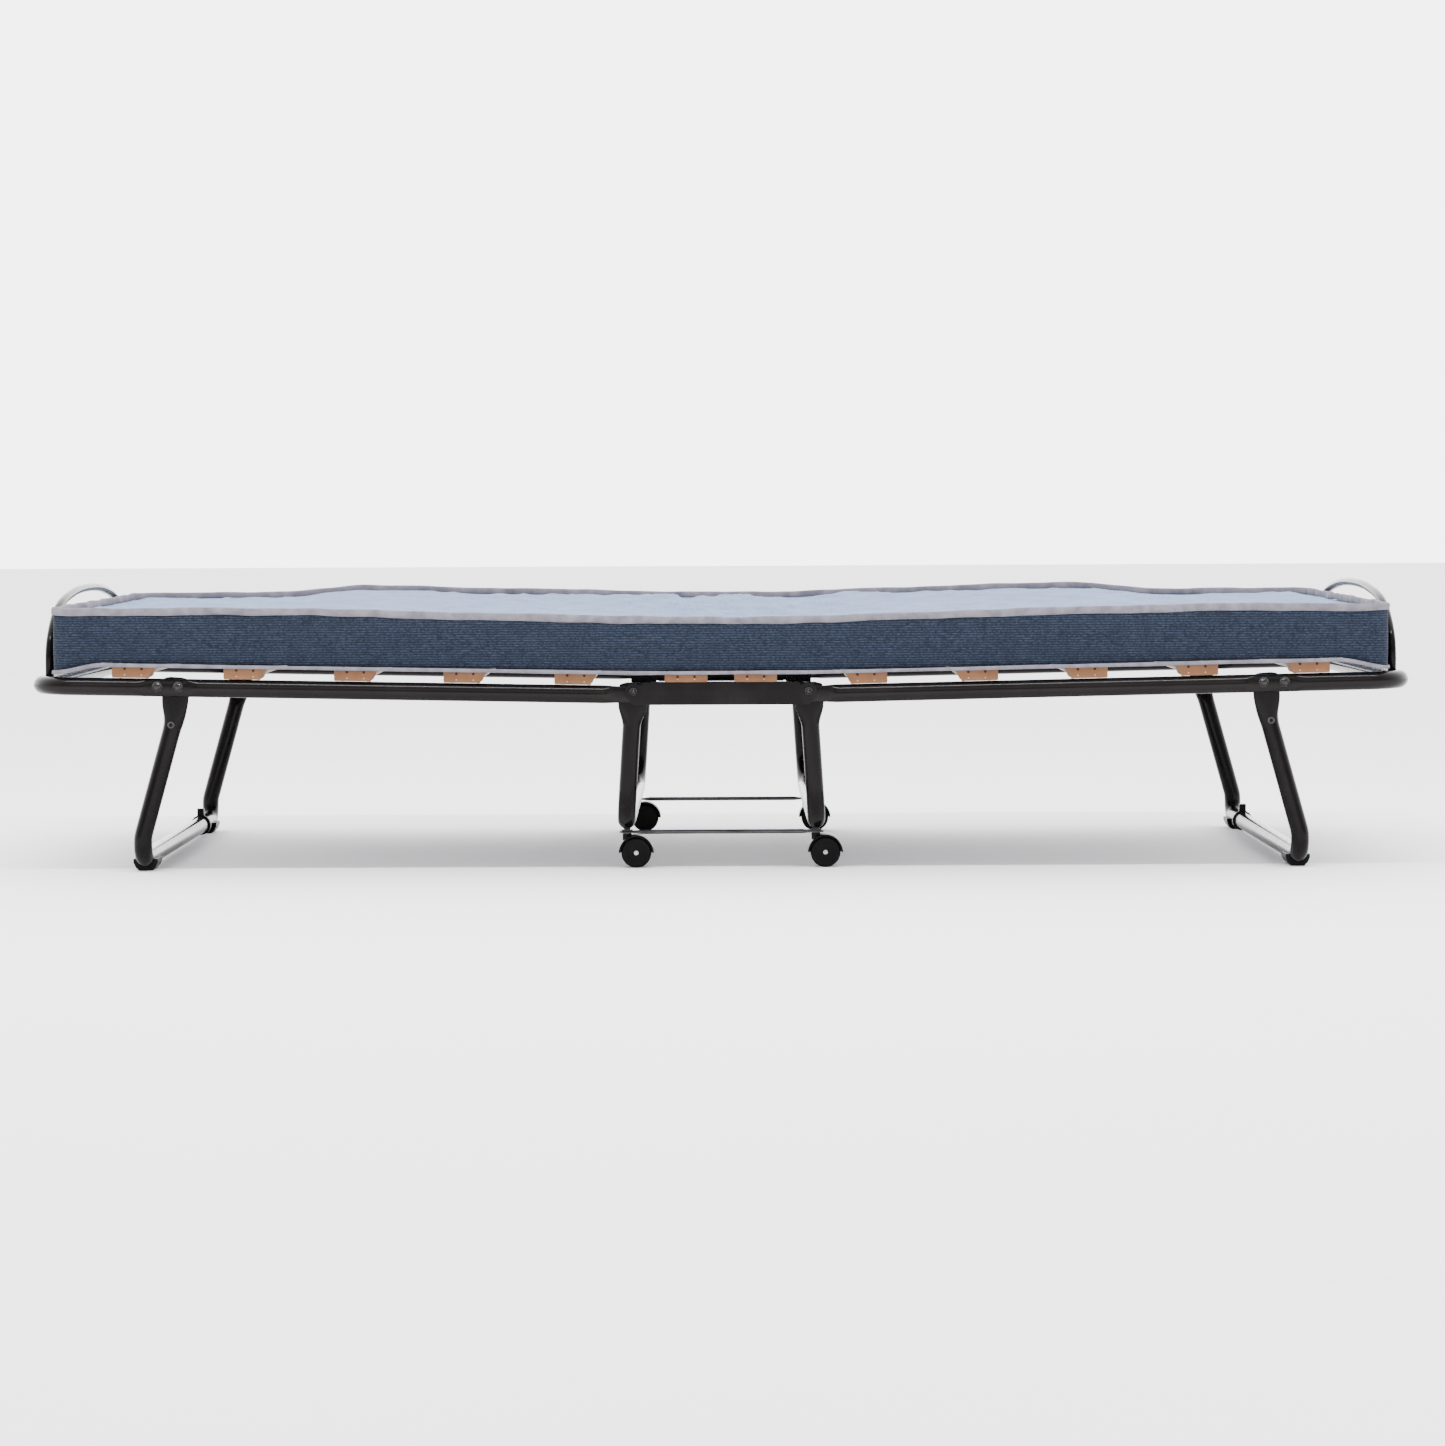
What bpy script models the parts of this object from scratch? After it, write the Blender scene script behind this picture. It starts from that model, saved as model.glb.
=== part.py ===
"""Folding cot: two hinged half frames on a centre section with casters, slats, end legs and a mattress.

Metres, +Z up, +X along the bed, origin at the middle of the footprint on the floor.
Every half-frame piece is modelled once, in coordinates that start at its hinge and run outward,
and is placed twice through an empty on the hinge axis.
"""
import math

import bmesh
import bpy
from mathutils import Matrix, Vector

# ---- driving dimensions, metres and degrees ----
LENGTH = 1.915
WIDTH = 0.80
GAP = 0.0003
TUBE_SIDES = 12

# rails: one bent tube a side, its axis a little below the hinge and rivet lines
RAIL_R = 0.0125
RAIL_CORNER = 0.050
RAIL_DROP = 0.0045
RAIL_RISE = math.radians(1.12)
RAIL_END_HALF = 0.0115
FLAT_HALF = 0.0025
DIMPLE_HALF_T = 0.0075
DIMPLE_HALF_H = 0.0122
DIMPLE_MARGIN = 0.016
DIMPLE_EASE = 0.018
RAIL_TIP = -0.0108
RAIL_TIP_EASE = 0.0048
RAIL_FLAT_TO = 0.0220
RAIL_ROUND_FROM = 0.0420

# centre section
PIVOT_X = 0.121
PIVOT_Z = 0.250
PLATE_T = 0.002
PLATE_ABOVE = 0.0125
PLATE_BELOW = 0.0187
PLATE_EAR_R = 0.0115
PLATE_NOTCH = 0.013
FLANGE_X = 0.098
FLANGE_W = 0.024

# pins and rivets
SHANK_R = 0.003
HEAD_R = 0.0058
HEAD_H = 0.0022
PIN_CLEARANCE = 0.0004

# legs
LEG_R = 0.0125
HEAD_SHOULDER = 0.006
MID_LEG_HEAD_HALF = 0.020
MID_LEG_SPLAY = 0.0115
MID_BAR_Z = 0.067
MID_LEG_CORNER = 0.050
END_LEG_HEAD_HALF = 0.0185
END_LEG_Y = 0.361
END_LEG_X = 0.749
LEG_PIVOT_DROP = 0.0025
END_LEG_FOOT_X = 0.805
END_BAR_Z = 0.0175
END_BEND_ABOVE_BAR = 0.0315
END_LEG_CORNER = 0.024
STOP_OFFSET = 0.029

# feet and clips on the end legs
FOOT_HALF_W = 0.017
FOOT_SOLE_HALF_W = 0.009
FOOT_CHAMFER = 0.005
FOOT_HALF_L = 0.022
FOOT_Y = 0.318
CLIP_Y = 0.244
CLIP_R = 0.0155
CLIP_HALF_W = 0.004
CLIP_TAB = 0.010
CLIP_TAB_HALF = 0.005

# slats and their plastic holders
SLAT_W = 0.053
SLAT_T = 0.008
SLAT_HALF_L = 0.372
HOLDER_L = 0.059
HOLDER_LOW = 0.0105
HOLDER_HIGH = 0.0267
CENTRE_HOLDER_H = 0.0132
HOLDER_LIP = 0.0026
HOLDER_IN_Y = 0.357
HOLDER_OUT_Y = 0.3965
PEG_R = 0.003
PEG_SPACING = 0.036
FRAME_SLATS_X = (0.2005, 0.3535, 0.5045, 0.657, 0.811)
CENTRE_SLAT_X = 0.048

# retaining bows
BOW_R = 0.006
BOW_FOOT_Y = 0.330
BOW_BEND_Y = 0.326
BOW_BEND_Z = 0.055
BOW_SHOULDER_Y = 0.262
BOW_SHOULDER_Z = 0.100
BOW_ARCH_Y = 0.140
BOW_ARCH_Z = 0.119
BOW_TOP_Z = 0.124
BOW_SETBACK = 0.008

# mattress
MATTRESS_HALF_W = 0.390
MATTRESS_T = 0.078
MATTRESS_END_X = 0.925
MATTRESS_ABOVE_SLATS = 0.001
MATTRESS_HINGE_GAP = 0.002

# casters and the rods that tie them
WHEEL_R = 0.021
WHEEL_OUT_Y = 0.0155
WHEEL_IN_Y = 0.003
AXLE_R = 0.0028
HOOD_R = 0.0245
HOOD_HALF_W = 0.016
WEB_HALF_T = 0.0022
HUB_R = 0.0075
WHEEL_CLEARANCE = 0.0012
CASTER_TRAIL = 0.013
CASTER_Y = 0.315
STEM_R = 0.0045
BOSS_R = 0.0065
BOSS_LOW_Z = 0.038
BOSS_TOP_Z = 0.0475
STEM_TOP_Z = 0.072
ROD_R = 0.003
ROD_Z = 0.0495
ROD_EYE_R = 0.0105
ROD_EYE_HALF_T = 0.0012

# ---- worked out from the dimensions above ----
RAIL_Y = WIDTH / 2 - RAIL_R
RAIL_END = (LENGTH / 2 - RAIL_R - PIVOT_X) / math.cos(RAIL_RISE)
END_LEG_ALONG = (END_LEG_X - PIVOT_X) / math.cos(RAIL_RISE)
MID_LEG_HEAD_Y = RAIL_Y - 2 * FLAT_HALF - GAP
MID_LEG_Y = MID_LEG_HEAD_Y + FLAT_HALF - LEG_R
STEM_X = PIVOT_X + MID_LEG_SPLAY
RAIL_TOP = RAIL_R - RAIL_DROP
END_LEG_Z = PIVOT_Z + END_LEG_ALONG * math.sin(RAIL_RISE) - LEG_PIVOT_DROP * math.cos(RAIL_RISE)
MATTRESS_Z = HOLDER_HIGH + MATTRESS_ABOVE_SLATS

MATERIALS = {
    "black_paint": ((0.030, 0.028, 0.030), 0.30, 0.2),
    "plate_paint": ((0.040, 0.038, 0.040), 0.38, 0.2),
    "zinc": ((0.55, 0.56, 0.58), 0.30, 1.0),
    "tan_plastic": ((0.50, 0.33, 0.24), 0.45, 0.0),
    "denim": ((0.050, 0.085, 0.160), 0.90, 0.0),
    "black_plastic": ((0.015, 0.015, 0.016), 0.40, 0.0),
}


def clear_scene():
    """Remove every object that the file already holds."""
    for obj in list(bpy.data.objects):
        bpy.data.objects.remove(obj, do_unlink=True)


def make_collection(name):
    """Return a new collection linked to the scene."""
    collection = bpy.data.collections.new(name)
    bpy.context.scene.collection.children.link(collection)
    return collection


def make_material(node, kind):
    """Return a Principled material of one kind, named for one node."""
    colour, roughness, metallic = MATERIALS[kind]
    material = bpy.data.materials.new(f"{node}_{kind}")
    material.use_nodes = True
    shader = material.node_tree.nodes["Principled BSDF"]
    shader.inputs["Base Color"].default_value = (*colour, 1.0)
    shader.inputs["Roughness"].default_value = roughness
    shader.inputs["Metallic"].default_value = metallic
    material.diffuse_color = (*colour, 1.0)
    return material


clear_scene()
PARTS = make_collection("folding_cot")
CUTTERS = make_collection("cutters")


def add_part(name, data, kind, parent=None, matrix=None):
    """Link a mesh or curve as one named sub-part, under a parent if it moves."""
    obj = bpy.data.objects.new(name, data)
    PARTS.objects.link(obj)
    obj.data = data.copy()
    obj.data.materials.clear()
    obj.data.materials.append(make_material(name, kind))
    obj.parent = parent
    obj.matrix_local = matrix or Matrix()
    return obj


def add_empty(name, matrix, parent=None):
    """Make an empty that marks a joint axis."""
    obj = bpy.data.objects.new(name, None)
    PARTS.objects.link(obj)
    obj.empty_display_size = 0.03
    obj.parent = parent
    obj.matrix_local = matrix
    return obj


def boolean(obj, tools, operation, parent=None, matrix=None):
    """Cut a sub-part by tools, or join them to it, with the exact solver."""
    for tool in tools:
        cutter = bpy.data.objects.new(f"{obj.name}_tool", tool)
        CUTTERS.objects.link(cutter)
        cutter.parent = parent
        cutter.matrix_local = matrix or Matrix()
        cutter.hide_render = True
        cutter.display_type = "WIRE"
        modifier = obj.modifiers.new(operation.lower(), "BOOLEAN")
        modifier.operation = operation
        modifier.solver = "EXACT"
        modifier.object = cutter
    return obj


def finish_mesh(bm, name, smooth_angle=35.0):
    """Turn a bmesh into a smooth-shaded mesh with its faces pointing out."""
    bmesh.ops.recalc_face_normals(bm, faces=bm.faces)
    mesh = bpy.data.meshes.new(name)
    bm.to_mesh(mesh)
    bm.free()
    mesh.shade_smooth()
    mesh.set_sharp_from_angle(angle=math.radians(smooth_angle))
    return mesh


def box_mesh(low, high, bevel=0.0):
    """A box between two corners, with its edges rounded if bevel is given."""
    bm = bmesh.new()
    size = Vector(high) - Vector(low)
    centre = (Vector(high) + Vector(low)) / 2
    place = Matrix.Translation(centre) @ Matrix.Diagonal((*size, 1.0))
    bmesh.ops.create_cube(bm, size=1.0, matrix=place)
    if bevel:
        bmesh.ops.bevel(bm, geom=bm.edges[:], offset=bevel, segments=1, affect="EDGES", profile=0.5)
    return finish_mesh(bm, "box")


def cylinder_mesh(radius, start, end, sides=16):
    """A capped cylinder between two points."""
    axis = Vector(end) - Vector(start)
    turn = Vector((0, 0, 1)).rotation_difference(axis).to_matrix().to_4x4()
    place = Matrix.Translation((Vector(start) + Vector(end)) / 2) @ turn
    bm = bmesh.new()
    bmesh.ops.create_cone(bm, cap_ends=True, segments=sides, radius1=radius, radius2=radius,
                          depth=axis.length, matrix=place)
    return finish_mesh(bm, "cylinder")


def slab_mesh(outlines, half_thickness):
    """A flat outline in X and Z, with any holes, given a thickness along Y."""
    curve = bpy.data.curves.new("outline", "CURVE")
    curve.dimensions = "2D"
    curve.fill_mode = "BOTH"
    curve.extrude = half_thickness
    for outline in outlines:
        spline = curve.splines.new("POLY")
        spline.points.add(len(outline) - 1)
        for point, (x, z) in zip(spline.points, outline):
            point.co = (x, z, 0.0, 1.0)
        spline.use_cyclic_u = True
    holder = bpy.data.objects.new("outline", curve)
    bpy.context.scene.collection.objects.link(holder)
    bpy.context.view_layer.update()
    mesh = bpy.data.meshes.new_from_object(holder.evaluated_get(bpy.context.evaluated_depsgraph_get()))
    bpy.data.objects.remove(holder, do_unlink=True)
    bm = bmesh.new()
    bm.from_mesh(mesh)
    bmesh.ops.remove_doubles(bm, verts=bm.verts, dist=0.00001)
    bm.transform(Matrix.Rotation(math.radians(90), 4, "X"))
    return finish_mesh(bm, "slab")


def arc_points(centre, radius, start_deg, end_deg, count):
    """Points along an arc in a plane, both ends included."""
    points = []
    for step in range(count + 1):
        angle = math.radians(start_deg + (end_deg - start_deg) * step / count)
        points.append((centre[0] + radius * math.cos(angle), centre[1] + radius * math.sin(angle)))
    return points


def rounded_path(points, radii, steps=5):
    """A polyline with each inner corner replaced by an arc of its own radius."""
    path = [Vector(points[0])]
    for index in range(1, len(points) - 1):
        corner = Vector(points[index])
        before = (Vector(points[index - 1]) - corner).normalized()
        after = (Vector(points[index + 1]) - corner).normalized()
        half = before.angle(after) / 2
        cut = radii[index - 1] / math.tan(half)
        centre = corner + (before + after).normalized() * radii[index - 1] / math.sin(half)
        first = corner + before * cut - centre
        last = corner + after * cut - centre
        sweep = first.angle(last)
        axis = first.cross(last).normalized()
        for step in range(steps + 1):
            path.append(centre + Matrix.Rotation(sweep * step / steps, 3, axis) @ first)
    path.append(Vector(points[-1]))
    return path


def loft_mesh(path, sizes, side, sides=TUBE_SIDES):
    """A bar along a path whose section changes from flat to round.

    sizes holds, for each point, half the width, half the thickness, a squareness of 2 for an
    ellipse and more for a flatter shape, and a sideways offset. side is the direction that the
    thickness is measured in wherever the path runs across it.
    """
    bm = bmesh.new()
    rings = []
    thick = Vector(side)
    for index, centre in enumerate(path):
        ahead = path[min(index + 1, len(path) - 1)] - path[max(index - 1, 0)]
        ahead.normalize()
        thick = (thick - ahead * thick.dot(ahead)).normalized()
        wide = ahead.cross(thick)
        half_w, half_t, square, offset = sizes[index]
        ring = []
        for corner in range(sides):
            angle = 2 * math.pi * (corner + 0.5) / sides
            along_w = math.copysign(abs(math.cos(angle)) ** (2 / square), math.cos(angle))
            along_t = math.copysign(abs(math.sin(angle)) ** (2 / square), math.sin(angle))
            spot = centre + wide * half_w * along_w + thick * (half_t * along_t + offset)
            ring.append(bm.verts.new(spot))
        rings.append(ring)
    for low, high in zip(rings, rings[1:]):
        for corner in range(sides):
            following = (corner + 1) % sides
            bm.faces.new((low[corner], low[following], high[following], high[corner]))
    bm.faces.new(rings[0])
    bm.faces.new(rings[-1])
    return finish_mesh(bm, "loft", 50.0)


def turned_part(name, profile, kind, steps, parent=None, matrix=None):
    """A turned sub-part: a profile of radius and height, outer side running down, spun about Z."""
    mesh = bpy.data.meshes.new(name)
    points = [(radius, 0.0, height) for radius, height in profile]
    mesh.from_pydata(points, [(i, i + 1) for i in range(len(points) - 1)], [])
    obj = add_part(name, mesh, kind, parent, matrix)
    screw = obj.modifiers.new("turn", "SCREW")
    screw.axis = "Z"
    screw.steps = steps
    screw.render_steps = steps
    screw.use_merge_vertices = True
    screw.merge_threshold = 0.00005
    screw.use_smooth_shade = True
    return obj


def tube_part(name, points, radius, kind, parent=None):
    """A plain bent wire or tube: a smooth curve with a round bevel and closed ends."""
    curve = bpy.data.curves.new(name, "CURVE")
    curve.dimensions = "3D"
    curve.bevel_depth = radius
    curve.bevel_resolution = 2
    curve.resolution_u = 4
    curve.use_fill_caps = True
    spline = curve.splines.new("BEZIER")
    spline.bezier_points.add(len(points) - 1)
    for bezier, point in zip(spline.bezier_points, points):
        bezier.co = point
        bezier.handle_left_type = "AUTO"
        bezier.handle_right_type = "AUTO"
    return add_part(name, curve, kind, parent)


# ---- shapes ----

def pin_hole(x, z):
    """A cutter along Y for a pin's hole, right across the cot."""
    return cylinder_mesh(SHANK_R + PIN_CLEARANCE, (x, -WIDTH, z), (x, WIDTH, z))


def round_size(radius):
    """A plain round section."""
    return (radius, radius, 2.0, 0.0)


def rail_mesh():
    """One U-shaped rail, flattened at its ends and pressed flat round the leg rivets."""
    corner_x = RAIL_END - RAIL_CORNER
    press_from = END_LEG_ALONG - DIMPLE_MARGIN
    press_to = END_LEG_ALONG + STOP_OFFSET + DIMPLE_MARGIN
    round_tube = round_size(RAIL_R)
    flat = (RAIL_END_HALF, FLAT_HALF, 4.0, 0.0)
    end_cut = (RAIL_END_HALF * 0.55, FLAT_HALF, 4.0, 0.0)
    pressed = (DIMPLE_HALF_H, DIMPLE_HALF_T, 2.6, 0.0)
    stations = [(RAIL_TIP, end_cut), (RAIL_TIP + RAIL_TIP_EASE, flat), (RAIL_FLAT_TO, flat),
                (RAIL_ROUND_FROM, round_tube), (press_from - DIMPLE_EASE, round_tube),
                (press_from, pressed), (press_to, pressed), (press_to + DIMPLE_EASE, round_tube)]
    near = [Vector((x, -RAIL_Y, -RAIL_DROP)) for x, size in stations]
    near_sizes = [size for x, size in stations]
    straight_to = corner_x - 0.01
    corners = [(straight_to, -RAIL_Y, -RAIL_DROP), (RAIL_END, -RAIL_Y, -RAIL_DROP),
               (RAIL_END, RAIL_Y, -RAIL_DROP), (straight_to, RAIL_Y, -RAIL_DROP)]
    bend = rounded_path(corners, [RAIL_CORNER, RAIL_CORNER], 6)[1:-1]
    far = [Vector((point.x, RAIL_Y, -RAIL_DROP)) for point in reversed(near)]
    sizes = near_sizes + [round_tube] * len(bend) + near_sizes[::-1]
    return loft_mesh(near + bend + far, sizes, (0, -1, 0))


def u_leg_mesh(side_points, corner_radii, bar, head, leg_y, grow=0.0):
    """A U-shaped leg: two flattened heads, two shanks and a crossbar along Y.

    side_points run from the top of the head to the bottom bend, as x and z.
    head is its half width, the heights where it stops being flat and where it is round, and its offset.
    """
    half_w, flat_to, round_from, offset = head
    corners = [(x, -leg_y, z) for x, z in side_points] + [(bar[0], -leg_y, bar[1])]
    corners += [(x, -y, z) for x, y, z in reversed(corners)]
    radii = corner_radii + corner_radii[::-1]
    path = rounded_path(corners, radii, 4)
    top = side_points[0][1]
    levels = (top - HEAD_SHOULDER, flat_to, (flat_to + round_from) / 2, round_from)
    ordered = []
    for start, end in zip(path, path[1:]):
        ordered.append(start)
        rise = end.z - start.z
        if abs(start.y - end.y) < 0.000001:
            shares = [(level - start.z) / rise for level in levels]
            ordered += [start.lerp(end, share) for share in sorted(shares) if 0.02 < share < 0.98]
    ordered.append(path[-1])
    sizes = []
    for point in ordered:
        share = min(max((flat_to - point.z) / (flat_to - round_from), 0.0), 1.0)
        share = share * share * (3 - 2 * share)
        wide = half_w + (LEG_R - half_w) * share
        if point.z > top - 0.001:
            wide *= 0.62
        thin = FLAT_HALF + (LEG_R - FLAT_HALF) * share
        square = 4.0 + (2.0 - 4.0) * share
        sizes.append((wide + grow, thin + grow, square, offset * (1 - share)))
    return loft_mesh(ordered, sizes, (0, -1, 0))


MID_HEAD = (MID_LEG_HEAD_HALF, -0.018, -0.050, LEG_R - FLAT_HALF)
MID_SIDE = [(-0.0008, 0.012)]
MID_BAR = (MID_LEG_SPLAY, MID_BAR_Z - PIVOT_Z)
END_HEAD = (END_LEG_HEAD_HALF, -0.016, -0.064, LEG_R - FLAT_HALF)
END_BEND_Z = END_BAR_Z - END_LEG_Z + END_BEND_ABOVE_BAR
END_SIDE = [(0.005, 0.012), (0.0095, -0.045), (END_LEG_FOOT_X - END_LEG_X, END_BEND_Z)]
END_RADII = [0.10, 0.05, END_LEG_CORNER]
END_BAR = (END_LEG_FOOT_X - END_LEG_X, END_BAR_Z - END_LEG_Z)


def plate_outline():
    """The side plate's outline from its hinge ear to its middle, both ends alike."""
    right = []
    right.append((PIVOT_X - PLATE_NOTCH, PLATE_ABOVE))
    right.append((PIVOT_X - PLATE_NOTCH + 0.002, PLATE_ABOVE - 0.004))
    right += arc_points((PIVOT_X, 0.0), PLATE_EAR_R, 125, -40, 9)
    right.append((PIVOT_X + 0.002, -PLATE_BELOW + 0.001))
    right.append((PIVOT_X - 0.002, -PLATE_BELOW))
    left = [(-x, z) for x, z in reversed(right)]
    return right + left


def slat_meshes(holder_low, holder_high, peg_foot):
    """A slat, the holders on its two ends and the pegs that stand under them."""
    slat_high = holder_high - HOLDER_LIP
    low = (-SLAT_W / 2, -SLAT_HALF_L, slat_high - SLAT_T)
    slat = box_mesh(low, (SLAT_W / 2, SLAT_HALF_L, slat_high), 0.0015)
    holders = []
    pegs = []
    for end in (-1, 1):
        y_low, y_high = sorted((end * HOLDER_IN_Y, end * HOLDER_OUT_Y))
        low = (-HOLDER_L / 2, y_low, holder_low)
        holders.append(box_mesh(low, (HOLDER_L / 2, y_high, holder_high)))
        for x in (-PEG_SPACING / 2, PEG_SPACING / 2):
            foot = (x, end * RAIL_Y, peg_foot)
            head = (x, end * RAIL_Y, holder_low + 0.004)
            pegs.append(cylinder_mesh(PEG_R, foot, head, 8))
    return slat, holders, pegs


def foot_outline():
    """A foot seen from the end: straight cheeks, chamfered below to a narrow flat sole."""
    x, z = END_BAR
    floor = -END_LEG_Z
    right = [(x + FOOT_SOLE_HALF_W, floor), (x + FOOT_SOLE_HALF_W + FOOT_CHAMFER, floor + FOOT_CHAMFER),
             (x + FOOT_HALF_W, z - 0.006), (x + FOOT_HALF_W, z - 0.001)]
    left = [(2 * x - across, height) for across, height in reversed(right)]
    return right + left


def join_all(meshes):
    """One mesh that holds several tools, for the boolean that joins them."""
    bm = bmesh.new()
    for mesh in meshes:
        bm.from_mesh(mesh)
    return finish_mesh(bm, "tools")


def rivet(name, from_y, to_y, parent, along, kind="plate_paint"):
    """A headed pin along Y between two faces, its shank clear of the holes."""
    depth = abs(to_y - from_y)
    dome = [(0, depth + GAP + HEAD_H), (HEAD_R * 0.6, depth + GAP + HEAD_H * 0.85), (HEAD_R, depth + GAP),
            (SHANK_R, depth + GAP)]
    tail = [(SHANK_R, -GAP), (HEAD_R, -GAP), (HEAD_R * 0.8, -GAP - HEAD_H * 0.8), (0, -GAP - HEAD_H * 0.8)]
    profile = dome + tail
    turn = Matrix.Rotation(math.radians(90 if to_y < from_y else -90), 4, "X")
    place = Matrix.Translation((along[0], from_y, along[1])) @ turn
    return turned_part(name, profile, kind, 10, parent, place)


# ---- assembly ----

def add_centre():
    """Side plates, mid legs, tie rods, two slats, the middle of the mattress and the hinge pins."""
    outline = plate_outline()
    for label, sign in (("front", -1), ("rear", 1)):
        outer = sign * (RAIL_Y + FLAT_HALF + GAP)
        middle = outer + sign * PLATE_T / 2
        plate = add_part(f"side_plate_{label}", slab_mesh([outline], PLATE_T / 2), "plate_paint",
                         matrix=Matrix.Translation((0, middle, PIVOT_Z)))
        flanges = []
        for z_low, z_high in ((PLATE_ABOVE - PLATE_T, PLATE_ABOVE), (-PLATE_BELOW, PLATE_T - PLATE_BELOW)):
            y_low, y_high = sorted((outer + sign * PLATE_T * 0.5, outer - sign * FLANGE_W))
            low = (-FLANGE_X, y_low, PIVOT_Z + z_low)
            flanges.append(box_mesh(low, (FLANGE_X, y_high, PIVOT_Z + z_high)))
        boolean(plate, flanges, "UNION")
        holes = [pin_hole(-PIVOT_X, PIVOT_Z), pin_hole(PIVOT_X, PIVOT_Z)]
        boolean(plate, holes, "DIFFERENCE")

    leg_mesh = u_leg_mesh(MID_SIDE, [MID_LEG_CORNER], MID_BAR, MID_HEAD, MID_LEG_Y)
    for label, angle in (("left", 180), ("right", 0)):
        sign = math.cos(math.radians(angle))
        turn = Matrix.Rotation(math.radians(angle), 4, "Z")
        place = Matrix.Translation((sign * PIVOT_X, 0, PIVOT_Z)) @ turn
        leg = add_part(f"mid_leg_{label}", leg_mesh, "black_paint", matrix=place)
        holes = [pin_hole(0.0, 0.0)]
        for y in (-CASTER_Y, CASTER_Y):
            low = (MID_LEG_SPLAY, y, MID_BAR_Z - 0.027 - PIVOT_Z)
            high = (MID_LEG_SPLAY, y, STEM_TOP_Z + 0.001 - PIVOT_Z)
            holes.append(cylinder_mesh(STEM_R + PIN_CLEARANCE, low, high))
        boolean(leg, holes, "DIFFERENCE", matrix=place)

    eye = (ROD_EYE_R, ROD_EYE_HALF_T, 3.0, 0.0)
    tip = (ROD_EYE_R * 0.5, ROD_EYE_HALF_T, 3.0, 0.0)
    half = [(STEM_X + ROD_EYE_R, tip), (STEM_X + ROD_EYE_R * 0.6, eye), (STEM_X - ROD_EYE_R * 0.6, eye),
            (STEM_X - 0.020, round_size(ROD_R))]
    stations = [(-x, size) for x, size in half] + [(x, size) for x, size in reversed(half)]
    for label, y in (("front", -CASTER_Y), ("rear", CASTER_Y)):
        path = [Vector((x, y, ROD_Z)) for x, size in stations]
        rod_mesh = loft_mesh(path, [size for x, size in stations], (0, 0, 1), 10)
        rod = add_part(f"tie_rod_{label}", rod_mesh, "zinc")
        holes = [cylinder_mesh(STEM_R + PIN_CLEARANCE, (x, y, 0), (x, y, 0.1)) for x in (-STEM_X, STEM_X)]
        boolean(rod, holes, "DIFFERENCE")

    place = Matrix.Translation((0, 0, PIVOT_Z))
    holder_low = PLATE_ABOVE + GAP
    for number, x in ((6, -CENTRE_SLAT_X), (7, CENTRE_SLAT_X)):
        slat, holders, pegs = slat_meshes(holder_low, holder_low + CENTRE_HOLDER_H, holder_low)
        at_slat = place @ Matrix.Translation((x, 0, 0))
        obj = add_part(f"slat_{number:02d}", slat, "tan_plastic", matrix=at_slat)
        boolean(obj, [join_all(holders)], "UNION", matrix=at_slat)

    low = MATTRESS_Z
    high = MATTRESS_Z + MATTRESS_T
    wedge = [(PIVOT_X - low, low), (PIVOT_X - high, high), (high - PIVOT_X, high), (low - PIVOT_X, low)]
    add_part("mattress_centre", slab_mesh([wedge], MATTRESS_HALF_W), "denim", matrix=place)

    for label, x in (("left", -PIVOT_X), ("right", PIVOT_X)):
        for end, sign in (("front", -1), ("rear", 1)):
            outside = sign * (RAIL_Y + FLAT_HALF + GAP + PLATE_T)
            inside = sign * (MID_LEG_HEAD_Y - FLAT_HALF)
            rivet(f"hinge_pin_{label}_{end}", inside, outside, None, (x, PIVOT_Z))


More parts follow.
